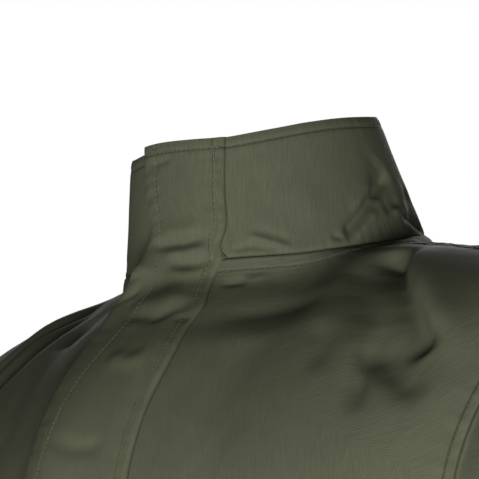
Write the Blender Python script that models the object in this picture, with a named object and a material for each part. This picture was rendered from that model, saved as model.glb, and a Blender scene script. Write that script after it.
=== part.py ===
"""Work jacket with a stand-up collar and a front flap, filled out with no wearer.

Metres, +Z up. +X is the wearer's left and -Y the front. The origin is the middle of
the neck opening at the height of the two shoulder neck points, where a wearer carries
the jacket. Each cut piece is a cloth wall of its own: fronts, back, sleeves, collar,
flap and the two touch-fastening strips that hold the flap shut.

Every wall is worked out from one smooth form: the trunk is a run of rounded outlines
that closes over a shoulder ridge, the neck is an oval cut on it, the armholes are
ovals cut on it, and the sleeves are rings that start on the armholes.
"""
from typing import NamedTuple

import bmesh
import bpy
import numpy as np
from mathutils import Vector

# Driving dimensions of the jacket.
BODY_LENGTH = 0.700
UNDERARM_HEIGHT = -0.268
NECK_HALF_WIDTH = 0.080
NECK_HALF_DEPTH = 0.085
COLLAR_TOP_HALF_WIDTH = 0.0655
COLLAR_TOP_HALF_DEPTH = 0.0703
COLLAR_TOP_FORWARD = 0.0161
COLLAR_FOOT = -0.013
COLLAR_HEAD = 0.053
LEFT_FRONT_EDGE = 0.022
RIGHT_FRONT_EDGE = 0.020

# The collar's right half stands a little lower, from DROP_START to DROP_FULL degrees
# round from centre front, and comes back up within DROP_END degrees of the flap.
COLLAR_DROP = 0.0020
DROP_START = 250.0
DROP_FULL = 290.0
DROP_END = 16.0

# Cloth walls and gaps.
CLOTH = 0.0013
COLLAR_PLIES = 0.0022
FLAP_PLIES = 0.0018
STRIP = 0.0008
SEAM_GAP = 0.0003
FLAP_LIFT = 0.0026
FLAP_BRIDGE = 0.0030
FLAP_EASE_WIDTH = 0.018

# Shape of the form.
ROUNDNESS = 2.36
FRONT_FALL = 0.186
BACK_FALL = 0.205
NAPE_RISE = 0.0150
NECK_TILT = 0.17
TILT_FULL = -0.04
TILT_GONE = -0.22
NECK_EASE = 0.05
HALF_ARMHOLE = 0.28
UNDERARM_SAG = 0.030
SAG_REACH = 0.07
SAG_SHAPE = 6.75
ARMHOLE_REACH = 0.4
FOLD_TAPER = 0.3
FRONT = -1
BACK = 1
WELD = 1e-6

# Mesh of the cloth.
SKIRT_ROWS = 11
CHEST_ROWS = 7
YOKE_ROWS = 6
HALF_COLUMNS = 9
BAND_ROWS = SKIRT_ROWS + CHEST_ROWS
CHEST_ROW_CROWDING = 1.25
CHEST_ARMHOLE_SHARE = 0.52
SLEEVE_RINGS = 20
COLLAR_COLUMNS = 32
COLLAR_ROWS = 5
FINE = 240
SHARP_ANGLE = np.radians(60.0)

OLIVE = "#54563F"
SHADED_OLIVE = "#4B4D39"
STRIP_OLIVE = "#3B3D30"
CLOTH_ROUGHNESS = 0.85


class Level(NamedTuple):
    """Half sizes of the trunk at one height."""

    height: float
    half_width: float
    front: float
    back: float


TRUNK = (
    Level(height=-0.700, half_width=0.214, front=0.150, back=0.142),
    Level(height=-0.560, half_width=0.207, front=0.147, back=0.130),
    Level(height=-0.430, half_width=0.200, front=0.146, back=0.123),
    Level(height=-0.330, half_width=0.203, front=0.153, back=0.129),
    Level(height=-0.268, half_width=0.212, front=0.156, back=0.134),
    Level(height=-0.200, half_width=0.226, front=0.158, back=0.139),
    Level(height=-0.120, half_width=0.236, front=0.158, back=0.140),
    Level(height=0.080, half_width=0.236, front=0.157, back=0.140),
)


class Ridge(NamedTuple):
    """Height of the form straight above the side axis."""

    across: float
    height: float


RIDGE = (
    Ridge(across=-0.020, height=0.0267),
    Ridge(across=0.000, height=0.0283),
    Ridge(across=0.020, height=0.0267),
    Ridge(across=0.040, height=0.0210),
    Ridge(across=0.060, height=0.0105),
    Ridge(across=0.080, height=0.0000),
    Ridge(across=0.100, height=-0.0025),
    Ridge(across=0.130, height=-0.0080),
    Ridge(across=0.170, height=-0.0165),
    Ridge(across=0.225, height=-0.0310),
)


class NeckStation(NamedTuple):
    """Neck seam and collar at one angle from centre front, in degrees."""

    angle: float
    height: float
    collar: float


NECK = (
    NeckStation(angle=-30.0, height=-0.0129, collar=0.0660),
    NeckStation(angle=0.0, height=-0.0131, collar=0.0660),
    NeckStation(angle=30.0, height=-0.0127, collar=0.0654),
    NeckStation(angle=55.0, height=-0.0101, collar=0.0683),
    NeckStation(angle=70.0, height=-0.0060, collar=0.0686),
    NeckStation(angle=90.0, height=0.0000, collar=0.0682),
    NeckStation(angle=112.0, height=0.0082, collar=0.0655),
    NeckStation(angle=130.0, height=0.0135, collar=0.0645),
    NeckStation(angle=180.0, height=0.0165, collar=0.0665),
)


class ArmholeStation(NamedTuple):
    """Armhole outline: how far across it lies at one height of the form."""

    height: float
    front: float
    back: float


ARMHOLE = (
    ArmholeStation(height=-0.268, front=0.2120, back=0.2120),
    ArmholeStation(height=-0.245, front=0.2060, back=0.2065),
    ArmholeStation(height=-0.200, front=0.2030, back=0.2045),
    ArmholeStation(height=-0.150, front=0.2000, back=0.2030),
    ArmholeStation(height=-0.092, front=0.2060, back=0.2070),
    ArmholeStation(height=-0.053, front=0.2160, back=0.2160),
    ArmholeStation(height=-0.031, front=0.2250, back=0.2250),
)


class SleeveRing(NamedTuple):
    """Sleeve ring: its top and under points as (across, height), and its depth."""

    top: tuple
    under: tuple
    middle: float
    half_depth: float


SLEEVE = (
    SleeveRing((0.225, -0.0310), (0.212, -0.268), middle=-0.004, half_depth=0.0780),
    SleeveRing((0.252, -0.0450), (0.221, -0.265), middle=-0.004, half_depth=0.0790),
    SleeveRing((0.281, -0.0810), (0.232, -0.276), middle=-0.004, half_depth=0.0790),
    SleeveRing((0.308, -0.1350), (0.240, -0.299), middle=-0.004, half_depth=0.0780),
    SleeveRing((0.329, -0.1980), (0.247, -0.330), middle=-0.003, half_depth=0.0760),
    SleeveRing((0.350, -0.2750), (0.259, -0.375), middle=-0.002, half_depth=0.0725),
    SleeveRing((0.371, -0.3550), (0.274, -0.430), middle=-0.006, half_depth=0.0670),
    SleeveRing((0.388, -0.4350), (0.290, -0.485), middle=-0.014, half_depth=0.0620),
    SleeveRing((0.399, -0.5200), (0.303, -0.550), middle=-0.026, half_depth=0.0560),
    SleeveRing((0.405, -0.5950), (0.313, -0.615), middle=-0.040, half_depth=0.0500),
    SleeveRing((0.407, -0.6400), (0.319, -0.662), middle=-0.050, half_depth=0.0470),
)


class FlapLine(NamedTuple):
    """How far across the flap's seam and its free edge lie at one height."""

    height: float
    seam: float
    free_edge: float


FLAP = (
    FlapLine(height=-0.700, seam=0.0440, free_edge=-0.0200),
    FlapLine(height=-0.130, seam=0.0440, free_edge=-0.0200),
    FlapLine(height=-0.075, seam=0.0415, free_edge=-0.0175),
    FlapLine(height=-0.040, seam=0.0375, free_edge=-0.0120),
    FlapLine(height=-0.013, seam=0.0348, free_edge=-0.0080),
    FlapLine(height=0.053, seam=0.0348, free_edge=-0.0113),
)


class Fold(NamedTuple):
    """Soft ridge (raised over 0) or trough, from one place of a surface to another."""

    surface: str
    first: tuple
    last: tuple
    width: float
    raised: float


# Trunk places are (across, height), with a negative across on the wearer's right.
# Sleeve places are (degrees round from the top towards the front, share of the length).
# Collar places are (degrees round from centre front, share of the height).
FOLDS = (
    Fold("front", (0.098, -0.003), (0.188, -0.086), 0.012, -0.0075),
    Fold("front", (0.124, -0.004), (0.204, -0.074), 0.013, 0.0040),
    Fold("front", (-0.096, -0.004), (-0.176, -0.086), 0.012, -0.0060),
    Fold("front", (-0.120, -0.008), (-0.194, -0.090), 0.014, 0.0035),
    Fold("front", (-0.008, -0.028), (-0.004, -0.330), 0.024, 0.0090),
    Fold("front", (-0.012, -0.030), (0.124, -0.027), 0.014, -0.0080),
    Fold("front", (0.142, -0.050), (0.184, -0.092), 0.009, -0.0038),
    Fold("front", (0.196, -0.215), (0.120, -0.330), 0.018, 0.0050),
    Fold("front", (0.204, -0.250), (0.150, -0.380), 0.017, -0.0045),
    Fold("front", (-0.198, -0.220), (-0.115, -0.320), 0.018, 0.0050),
    Fold("front", (-0.205, -0.255), (-0.155, -0.400), 0.017, -0.0045),
    Fold("front", (0.190, -0.420), (0.085, -0.470), 0.018, 0.0045),
    Fold("front", (-0.188, -0.430), (-0.080, -0.500), 0.018, 0.0045),
    Fold("front", (0.120, -0.520), (0.150, -0.690), 0.020, -0.0045),
    Fold("front", (-0.105, -0.540), (-0.140, -0.690), 0.020, -0.0045),
    Fold("back", (0.120, -0.040), (0.190, -0.190), 0.018, -0.0050),
    Fold("back", (-0.125, -0.045), (-0.192, -0.200), 0.018, -0.0050),
    Fold("back", (0.200, -0.230), (0.110, -0.350), 0.019, 0.0055),
    Fold("back", (-0.202, -0.235), (-0.105, -0.340), 0.019, 0.0055),
    Fold("back", (0.190, -0.400), (0.060, -0.450), 0.018, 0.0050),
    Fold("back", (-0.185, -0.420), (-0.050, -0.490), 0.018, 0.0050),
    Fold("back", (0.060, -0.520), (0.085, -0.690), 0.022, -0.0050),
    Fold("back", (-0.075, -0.500), (-0.110, -0.690), 0.022, -0.0050),
    Fold("sleeve", (40.0, 0.10), (120.0, 0.30), 0.017, -0.0050),
    Fold("sleeve", (-45.0, 0.12), (-125.0, 0.30), 0.017, -0.0050),
    Fold("sleeve", (30.0, 0.46), (125.0, 0.55), 0.015, 0.0050),
    Fold("sleeve", (60.0, 0.60), (160.0, 0.56), 0.014, -0.0050),
    Fold("sleeve", (45.0, 0.70), (140.0, 0.62), 0.014, 0.0045),
    Fold("sleeve", (-60.0, 0.52), (-150.0, 0.62), 0.016, -0.0045),
    Fold("sleeve", (20.0, 0.80), (110.0, 0.88), 0.013, -0.0035),
    Fold("sleeve", (-30.0, 0.78), (-120.0, 0.86), 0.013, -0.0035),
    Fold("collar", (88.0, 0.06), (104.0, 0.62), 0.008, -0.0030),
    Fold("collar", (98.0, 0.05), (118.0, 0.50), 0.008, 0.0022),
    Fold("collar", (112.0, 0.10), (128.0, 0.42), 0.008, -0.0022),
    Fold("collar", (-92.0, 0.08), (-112.0, 0.58), 0.009, -0.0026),
)
FOLD_STEPS = 8

# Columns under the flap, as shares of the way from its free edge to the right front's
# edge. The strips lie on the middle three.
RIGHT_BAND = (0.0, 0.18, 0.5, 0.82, 1.0)


def column(table, name):
    """One named column of a table."""
    return [getattr(row, name) for row in table]


def smooth(knots, values, at):
    """Smooth curve through values at rising knots, held past the first and last."""
    at = np.clip(np.asarray(at, float), knots[0], knots[-1])
    slopes = np.gradient(values, knots)
    i = np.clip(np.searchsorted(knots, at) - 1, 0, len(knots) - 2)
    step = knots[i + 1] - knots[i]
    t = (at - knots[i]) / step
    start = (2 * t**3 - 3 * t**2 + 1) * values[i] + (t**3 - 2 * t**2 + t) * step * slopes[i]
    end = (3 * t**2 - 2 * t**3) * values[i + 1] + (t**3 - t**2) * step * slopes[i + 1]
    return start + end


def curve(table, key, name, at):
    """Smooth curve through one column of a table, with another rising down its rows."""
    return smooth(np.array(column(table, key)), np.array(column(table, name)), at)


def ease(t):
    """Smooth step from 0 to 1."""
    t = np.clip(t, 0.0, 1.0)
    return t * t * (3.0 - 2.0 * t)


def unit(vectors):
    """Vectors brought to length 1."""
    lengths = np.linalg.norm(vectors, axis=-1, keepdims=True)
    return vectors / np.maximum(lengths, 1e-12)


def side_name(side):
    """Column name of the front or the back."""
    return "front" if side == FRONT else "back"


def fall(side):
    """Drop from the ridge to where the form stands upright."""
    return FRONT_FALL if side == FRONT else BACK_FALL


def girth_depth(across, height, side):
    """Depth of the trunk's rounded outline at a place across."""
    width = curve(TRUNK, "height", "half_width", height)
    depth = curve(TRUNK, "height", side_name(side), height)
    share = np.clip(np.abs(across) / width, 0.0, 1.0)
    return depth * (1.0 - share**ROUNDNESS) ** (1.0 / ROUNDNESS)


def ridge_height(across, side):
    """Height of the shoulder ridge, which the back carries on higher inside the neck."""
    across = np.abs(across)
    ridge = curve(RIDGE, "across", "height", across)
    if side == FRONT:
        return ridge
    inside = np.clip(1.0 - (across / NECK_HALF_WIDTH) ** 4, 0.0, 1.0)
    return ridge + NAPE_RISE * inside**1.5


def plain_form(across, height, side):
    """Point of the form before it is drawn to the neck seam."""
    across, height = np.broadcast_arrays(across, height)
    drop = np.clip((ridge_height(across, side) - height) / fall(side), 0.0, 1.0)
    y = side * girth_depth(across, height, side) * np.sqrt(1.0 - (1.0 - drop) ** 2)
    lean = NECK_TILT * ease((height - TILT_GONE) / (TILT_FULL - TILT_GONE))
    return np.stack([across, y, height + lean * y], axis=-1)


def neck_point(angle):
    """Point of the neck seam at an angle from centre front, in degrees."""
    turn = np.radians(angle)
    folded = np.abs((np.asarray(angle, float) + 180.0) % 360.0 - 180.0)
    height = curve(NECK, "angle", "height", folded)
    x = NECK_HALF_WIDTH * np.sin(turn)
    y = -NECK_HALF_DEPTH * np.cos(turn)
    return np.stack([x, y, height], axis=-1)


def neck_on_form(angle):
    """Across and height, on the form, of the place under a point of the neck seam."""
    turn = np.radians(angle)
    across = NECK_HALF_WIDTH * np.sin(turn)
    depth = np.abs(NECK_HALF_DEPTH * np.cos(turn))
    height = np.zeros_like(across)
    for side in (FRONT, BACK):
        reach = np.clip(depth / girth_depth(across, 0.0, side), 0.0, 1.0)
        level = ridge_height(across, side) - fall(side) * (1.0 - np.sqrt(1.0 - reach**2))
        chosen = (np.cos(turn) > 0.0) == (side == FRONT)
        height = np.where(chosen, level, height)
    return across, height


def form(across, height, side):
    """Point of the jacket's outer face, drawn to the neck seam close to it."""
    points = plain_form(across, height, side)
    turn = np.arctan2(points[..., 0] / NECK_HALF_WIDTH, -points[..., 1] / NECK_HALF_DEPTH)
    angle = np.degrees(turn)
    neck_across, neck_height = neck_on_form(angle)
    front = plain_form(neck_across, neck_height, FRONT)
    back = plain_form(neck_across, neck_height, BACK)
    seated = np.where((np.abs(angle) <= 90.0)[..., None], front, back)
    away = np.linalg.norm(points - seated, axis=-1)
    pull = np.exp(-((away / NECK_EASE) ** 2))[..., None]
    return points + (neck_point(angle) - seated) * pull


def armhole_place(share, side):
    """Across and height of the armhole, from the underarm (0) to the shoulder (1)."""
    low, high = ARMHOLE[0].height, ARMHOLE[-1].height
    height = low + (high - low) * (1.0 - np.cos(np.pi * share)) / 2.0
    return curve(ARMHOLE, "height", side_name(side), height), height


def even_row(first, last, level_share, sag, side):
    """Points spread evenly along one row of a panel, from its edge to its side.

    `sag` lowers the row before its end, so that it meets the foot of the armhole
    squarely instead of running along it.
    """
    turn = np.linspace(0.0, 1.0, FINE)
    across = first[0] + (last[0] - first[0]) * np.sin(turn * np.pi / 2.0)
    share = (across - first[0]) / (last[0] - first[0])
    level = first[1] + (last[1] - first[1]) * share
    first_drop = ridge_height(first[0], side) - first[1]
    last_drop = ridge_height(last[0], side) - last[1]
    hung = ridge_height(across, side) - (first_drop + (last_drop - first_drop) * share)
    height = level * level_share + hung * (1.0 - level_share)
    height -= sag * SAG_SHAPE * turn**2 * (1.0 - turn)
    points = form(across, height, side)
    steps = np.linalg.norm(np.diff(points, axis=0), axis=1)
    along = np.concatenate([[0.0], np.cumsum(steps)])
    wanted = np.linspace(0.0, along[-1], HALF_COLUMNS + 1)
    return np.stack([np.interp(wanted, along, points[:, i]) for i in range(3)], axis=1)


def underarm_sag(distance):
    """Sag of a row whose end lies some way along the side from the underarm."""
    return UNDERARM_SAG * np.exp(-((distance / SAG_REACH) ** 2))


def neck_corner(across, side):
    """Angle and height of the neck seam over a place across."""
    angle = np.degrees(np.arcsin(across / NECK_HALF_WIDTH))
    angle = angle if side == FRONT else 180.0 - angle
    return angle, float(neck_on_form(angle)[1])


def edge_heights(corner_height):
    """Heights of the rows along a panel's edge, from the hem up to its neck corner."""
    skirt = np.linspace(-BODY_LENGTH, UNDERARM_HEIGHT, SKIRT_ROWS, endpoint=False)
    share = 1.0 - (1.0 - np.arange(CHEST_ROWS + 1) / CHEST_ROWS) ** CHEST_ROW_CROWDING
    chest = UNDERARM_HEIGHT + (corner_height - UNDERARM_HEIGHT) * share
    return np.concatenate([skirt, chest])


def panel(edges, side):
    """Half of the trunk's front or back as rows of points, from hem to shoulder seam.

    The first column runs up a line that is `edges` across in turn, and on round the
    neck. The last runs up the side seam and round the armhole.
    """
    corner, corner_height = neck_corner(edges[-1], side)
    heights = edge_heights(corner_height)
    rows = []
    for edge, height in zip(edges[:SKIRT_ROWS], heights):
        width = float(curve(TRUNK, "height", "half_width", height))
        sag = underarm_sag(UNDERARM_HEIGHT - height)
        rows.append(even_row((edge, height), (width, height), 1.0, sag, side))
    for k in range(CHEST_ROWS):
        share = k / CHEST_ROWS
        first = (edges[SKIRT_ROWS + k], heights[SKIRT_ROWS + k])
        last = armhole_place(CHEST_ARMHOLE_SHARE * share, side)
        sag = underarm_sag(CHEST_ARMHOLE_SHARE * share * HALF_ARMHOLE)
        rows.append(even_row(first, last, 1.0 - share / 2.0, sag, side))
    for k in range(YOKE_ROWS + 1):
        share = k / YOKE_ROWS
        first = neck_on_form(corner + (90.0 - corner) * share)
        last = armhole_place(CHEST_ARMHOLE_SHARE + (1.0 - CHEST_ARMHOLE_SHARE) * share, side)
        rows.append(even_row(first, last, (1.0 - share) / 2.0, 0.0, side))
    return np.array(rows)


def flap_line(name, heights):
    """How far across the flap's seam or free edge lies at some heights."""
    return curve(FLAP, "height", name, heights)


def left_places(heights):
    """Columns beside the left front's edge: the edge itself and the flap's seam."""
    seam = flap_line("seam", heights)
    return [np.full_like(seam, LEFT_FRONT_EDGE), seam]


def right_places(heights):
    """Columns beside the right front's edge, from the flap's free edge to that edge."""
    free_edge = flap_line("free_edge", heights)
    return [free_edge + (RIGHT_FRONT_EDGE - free_edge) * share for share in RIGHT_BAND]


def band(places):
    """Strip of a front beside its edge, with a column from hem to neck at each place."""
    columns = []
    for across in places:
        heights = edge_heights(neck_corner(across[-1], FRONT)[1])
        columns.append(form(across, heights, FRONT))
    return np.stack(columns, axis=1)


def mirrored(points):
    """The same points on the wearer's other side."""
    return points * np.array([-1.0, 1.0, 1.0])


def ring_value(station, values):
    """Value at a share of the sleeve's length, from one value for each ring given."""
    return smooth(np.linspace(0.0, 1.0, len(SLEEVE)), np.array(values), station)


def oval(station, turn):
    """Point of the sleeve's plain oval ring, with turn 0 at the top, in radians."""
    top = [ring_value(station, [ring.top[i] for ring in SLEEVE]) for i in (0, 1)]
    under = [ring_value(station, [ring.under[i] for ring in SLEEVE]) for i in (0, 1)]
    x = (top[0] + under[0]) / 2.0 + (top[0] - under[0]) / 2.0 * np.cos(turn)
    z = (top[1] + under[1]) / 2.0 + (top[1] - under[1]) / 2.0 * np.cos(turn)
    depth = ring_value(station, column(SLEEVE, "half_depth"))
    y = ring_value(station, column(SLEEVE, "middle")) - depth * np.sin(turn)
    return np.stack([x, y, z], axis=-1)


def sleeve(front_edge, back_edge):
    """Left sleeve as rings of points that start on the armhole.

    A ring runs from the underarm up the front to the shoulder and down the back.
    """
    start = np.concatenate([front_edge, back_edge[-2::-1]])
    steps = np.linalg.norm(np.diff(start, axis=0), axis=1)
    along = np.concatenate([[0.0], np.cumsum(steps)])
    top = len(front_edge) - 1
    rise = along[: top + 1] / along[top]
    descent = (along[top:] - along[top]) / (along[-1] - along[top])
    turn = np.concatenate([np.pi * (1.0 - rise), -np.pi * descent[1:]])
    rings = []
    for k in range(SLEEVE_RINGS + 1):
        station = k / SLEEVE_RINGS
        kept = 1.0 - ease(station / ARMHOLE_REACH)
        rings.append(oval(station, turn) + (start - oval(0.0, turn)) * kept)
    return np.array(rings)


def collar_point(angle, up):
    """Point of the collar's outer face, with up 0 at the neck seam and 1 at the top."""
    turn = np.radians(angle)
    folded = np.abs((np.asarray(angle, float) + 180.0) % 360.0 - 180.0)
    base = neck_point(angle)
    x = COLLAR_TOP_HALF_WIDTH * np.sin(turn)
    y = -COLLAR_TOP_FORWARD - COLLAR_TOP_HALF_DEPTH * np.cos(turn)
    z = base[..., 2] + curve(NECK, "angle", "collar", folded)
    top = np.stack([x, y, z], axis=-1)
    return base + (top - base) * np.asarray(up, float)[..., None]


def collar_angle(across, up):
    """Angle at which the collar's front passes a place across, in degrees."""
    half_width = NECK_HALF_WIDTH + (COLLAR_TOP_HALF_WIDTH - NECK_HALF_WIDTH) * up
    return np.degrees(np.arcsin(across / half_width))


def collar():
    """Collar's outer face as rows of points from the neck seam up."""
    rows = []
    for k in range(COLLAR_ROWS + 1):
        up = k / COLLAR_ROWS
        height = np.array(COLLAR_FOOT + (COLLAR_HEAD - COLLAR_FOOT) * up)
        start = [float(collar_angle(place, up)) for place in left_places(height)]
        finish = [360.0 + float(collar_angle(place, up)) for place in right_places(height)]
        round_neck = np.linspace(start[-1], finish[0], COLLAR_COLUMNS + 1)[1:-1]
        angle = np.concatenate([start, round_neck, finish])
        row = collar_point(angle, np.full_like(angle, up))
        row[:, 2] += SEAM_GAP * (1.0 - up)
        begun = ease((angle - DROP_START) / (DROP_FULL - DROP_START))
        row[:, 2] -= COLLAR_DROP * up * begun * ease((finish[0] - angle) / DROP_END)
        rows.append(row)
    return np.array(rows)


def fold_path(fold):
    """Points of a fold's line on its surface."""
    t = np.linspace(0.0, 1.0, FOLD_STEPS + 1)
    a = fold.first[0] + (fold.last[0] - fold.first[0]) * t
    b = fold.first[1] + (fold.last[1] - fold.first[1]) * t
    if fold.surface == "front":
        return form(a, b, FRONT)
    if fold.surface == "back":
        return form(a, b, BACK)
    if fold.surface == "collar":
        return collar_point(a, b)
    return np.array([oval(s, np.radians(angle)) for angle, s in zip(a, b)])


def fold_heights(points, surfaces):
    """How far the folds of some surfaces lift each point along its normal."""
    lift = np.zeros(points.shape[:-1])
    for fold in FOLDS:
        if fold.surface not in surfaces:
            continue
        paths = [fold_path(fold)]
        if fold.surface == "sleeve":
            paths.append(mirrored(paths[0]))
        for path in paths:
            lift += fold.raised * fold_strength(points, path, fold.width)
    return lift


def fold_strength(points, path, width):
    """Share of a fold's height at each point: full along its middle, none far off."""
    best = np.full(points.shape[:-1], np.inf)
    place = np.zeros(points.shape[:-1])
    for k in range(FOLD_STEPS):
        along = path[k + 1] - path[k]
        t = np.clip(((points - path[k]) @ along) / (along @ along), 0.0, 1.0)
        away = np.linalg.norm(points - path[k] - t[..., None] * along, axis=-1)
        nearer = away < best
        best = np.where(nearer, away, best)
        place = np.where(nearer, (k + t) / FOLD_STEPS, place)
    taper = ease(place / FOLD_TAPER) * ease((1.0 - place) / FOLD_TAPER)
    return np.exp(-((best / width) ** 2)) * taper


def grid_normals(points):
    """Unnormalised normals of a grid of points, from the faces round each point."""
    across = points[:, 1:] - points[:, :-1]
    along = points[1:] - points[:-1]
    faces = np.cross(across[:-1] + across[1:], along[:, :-1] + along[:, 1:])
    total = np.zeros_like(points)
    for rows in (slice(0, -1), slice(1, None)):
        for columns in (slice(0, -1), slice(1, None)):
            total[rows, columns] += faces
    return total


def shared_normals(grids):
    """Unit normals of several grids, the same for both pieces along a common seam."""
    sums = {}
    raw = {name: grid_normals(points) for name, points in grids.items()}
    for name, points in grids.items():
        for place, normal in zip(np.round(points.reshape(-1, 3), 6), raw[name].reshape(-1, 3)):
            key = tuple(place)
            sums[key] = sums.get(key, 0.0) + normal
    result = {}
    for name, points in grids.items():
        keys = np.round(points.reshape(-1, 3), 6)
        joined = np.array([sums[tuple(key)] for key in keys])
        result[name] = unit(joined.reshape(points.shape))
    return result


def linear(hex_colour):
    """Linear RGBA of an sRGB hex colour."""
    channels = [int(hex_colour[i : i + 2], 16) / 255.0 for i in (1, 3, 5)]
    spread = [c / 12.92 if c <= 0.04045 else ((c + 0.055) / 1.055) ** 2.4 for c in channels]
    return (*spread, 1.0)


def cloth_material(name, hex_colour):
    """Plain Principled material for one piece."""
    material = bpy.data.materials.new(name)
    material.use_nodes = True
    shader = material.node_tree.nodes["Principled BSDF"]
    shader.inputs["Base Color"].default_value = linear(hex_colour)
    shader.inputs["Roughness"].default_value = CLOTH_ROUGHNESS
    shader.inputs["Metallic"].default_value = 0.0
    return material


def joined_sheets(sheets):
    """Bmesh of some grids of points, welded where they share points."""
    bm = bmesh.new()
    place = bm.verts.layers.int.new("place")
    for points in sheets:
        start = len(bm.verts)
        rows, columns = points.shape[:2]
        made = bmesh.ops.create_grid(bm, x_segments=columns - 1, y_segments=rows - 1, size=0.5)
        for index, vert in enumerate(made["verts"]):
            vert[place] = start + index
            vert.co = points.reshape(-1, 3)[index]
    bmesh.ops.remove_doubles(bm, verts=bm.verts[:], dist=WELD)
    return bm, place


def inward(edge, normal):
    """Unit direction from a border edge into its sheet, level with a seam's normal."""
    middle = (edge.verts[0].co + edge.verts[1].co) / 2.0
    along = (edge.verts[1].co - edge.verts[0].co).normalized()
    into = edge.link_faces[0].calc_center_median() - middle
    into -= along * into.dot(along)
    into -= normal * into.dot(normal)
    return into.normalized()


def open_seams(bm, place, normals):
    """Draw the border of a sheet back by half a seam gap on every side."""
    moves = {}
    for vert in bm.verts:
        borders = [edge for edge in vert.link_edges if edge.is_boundary]
        if borders:
            normal = Vector(normals[vert[place]])
            first, second = (inward(edge, normal) for edge in borders)
            share = SEAM_GAP / 2.0 / (1.0 + first.dot(second))
            moves[vert] = (first + second) * share
    for vert, move in moves.items():
        vert.co += move


def cloth_wall(name, sheets, normals, thickness, hex_colour):
    """Cloth wall behind some outer grids, extruded inwards along their normals."""
    bm, place = joined_sheets(sheets)
    flat = np.concatenate([grid.reshape(-1, 3) for grid in normals])
    open_seams(bm, place, flat)
    extruded = bmesh.ops.extrude_face_region(bm, geom=list(bm.faces))
    for item in extruded["geom"]:
        if isinstance(item, bmesh.types.BMVert):
            item.co -= Vector(flat[item[place]]) * thickness
    bmesh.ops.recalc_face_normals(bm, faces=bm.faces[:])
    mesh = bpy.data.meshes.new(name)
    bm.to_mesh(mesh)
    bm.free()
    mesh.materials.append(cloth_material(name + "_cloth", hex_colour))
    mesh.shade_smooth()
    mesh.set_sharp_from_angle(angle=SHARP_ANGLE)
    piece = bpy.data.objects.new(name, mesh)
    bpy.context.scene.collection.objects.link(piece)
    return piece


def folded(grids, surfaces):
    """Grids with their folds raised, and the shared normals of the result."""
    normals = shared_normals(grids)
    raised = {}
    for name, points in grids.items():
        lift = fold_heights(points, surfaces)[..., None]
        raised[name] = points + normals[name] * lift
    return raised, shared_normals(raised)


def trunk_sheets():
    """Outer faces of the fronts, the back and the sleeves, as named grids."""
    heights = edge_heights(neck_corner(0.0, FRONT)[1])
    left = panel(flap_line("seam", heights), FRONT)
    right = mirrored(panel(-flap_line("free_edge", heights), FRONT))[:, ::-1]
    half_back = panel(np.zeros_like(heights), BACK)
    left_sleeve = sleeve(left[SKIRT_ROWS:, -1], half_back[SKIRT_ROWS:, -1])
    right_sleeve = mirrored(left_sleeve)[:, ::-1]
    return {
        "front_left": left,
        "front_left.band": band(left_places(heights)),
        "front_right": right,
        "front_right.band": band(right_places(heights)),
        "back": half_back[:, ::-1],
        "back.right": mirrored(half_back),
        "sleeve_left": left_sleeve,
        "sleeve_right": right_sleeve,
    }


def add_trunk(sheets, normals):
    """Fronts, back and sleeves."""
    for name in ("front_left", "front_right", "back", "sleeve_left", "sleeve_right"):
        parts = [part for part in sheets if part.split(".")[0] == name]
        outer = [sheets[part] for part in parts]
        facing = [normals[part] for part in parts]
        cloth_wall(name, outer, facing, CLOTH, OLIVE)


def add_collar(sheets, normals):
    """Stand-up collar, one two-ply band from front edge to front edge."""
    facing = normals["collar"].copy()
    facing[0, :, 2] = 0.0
    cloth_wall("collar", [sheets["collar"]], [unit(facing)], COLLAR_PLIES, OLIVE)


def flap_base(trunk, collar_sheet):
    """Face under the flap, from the hem up and from its free edge to its seam."""
    right_body = trunk["front_right.band"][:, :-1]
    right_stand = collar_sheet[:, -len(RIGHT_BAND) : -1]
    left_stand = collar_sheet[:, :2]
    body = np.concatenate([right_body, trunk["front_left.band"]], axis=1)
    stand = np.concatenate([right_stand, left_stand], axis=1)
    return np.concatenate([body, stand[1:]], axis=0)


def flap_ease(base):
    """How far across the flap each point is, eased from its seam (0) to the strips (1)."""
    from_seam = base[:, -1:, 0] - base[..., 0]
    return ease(from_seam / FLAP_EASE_WIDTH)[..., None]


def add_flap(base):
    """Front flap: sewn along its left side, resting on the strips at its free side."""
    normals = unit(grid_normals(base))
    lift = SEAM_GAP + (FLAP_LIFT - SEAM_GAP) * flap_ease(base)
    lift[BAND_ROWS] += FLAP_BRIDGE * flap_ease(base)[BAND_ROWS]
    outer = base + normals * (lift + FLAP_PLIES)
    cloth_wall("storm_flap", [outer], [normals], FLAP_PLIES, SHADED_OLIVE)


def add_strips(base):
    """Touch-fastening strips: the loop on the right front, the hook on the flap."""
    normals = unit(grid_normals(base))
    across = slice(1, 4)
    stretches = {"front": slice(1, BAND_ROWS - 1), "collar": slice(BAND_ROWS + 2, -1)}
    lifts = {"loop": SEAM_GAP, "hook": FLAP_LIFT - SEAM_GAP - STRIP}
    for place, rows in stretches.items():
        for kind, lift in lifts.items():
            facing = normals[rows, across]
            outer = base[rows, across] + facing * (lift + STRIP)
            cloth_wall(f"closure_{kind}_{place}", [outer], [facing], STRIP, STRIP_OLIVE)


def clear_scene():
    """Remove every object of the start-up scene."""
    for item in list(bpy.data.objects):
        bpy.data.objects.remove(item, do_unlink=True)


def main():
    """Build the jacket."""
    clear_scene()
    trunk, trunk_normals = folded(trunk_sheets(), ("front", "back", "sleeve"))
    stand, stand_normals = folded({"collar": collar()}, ("collar",))
    add_trunk(trunk, trunk_normals)
    add_collar(stand, stand_normals)
    base = flap_base(trunk, stand["collar"])
    add_flap(base)
    add_strips(base)


main()
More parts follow.
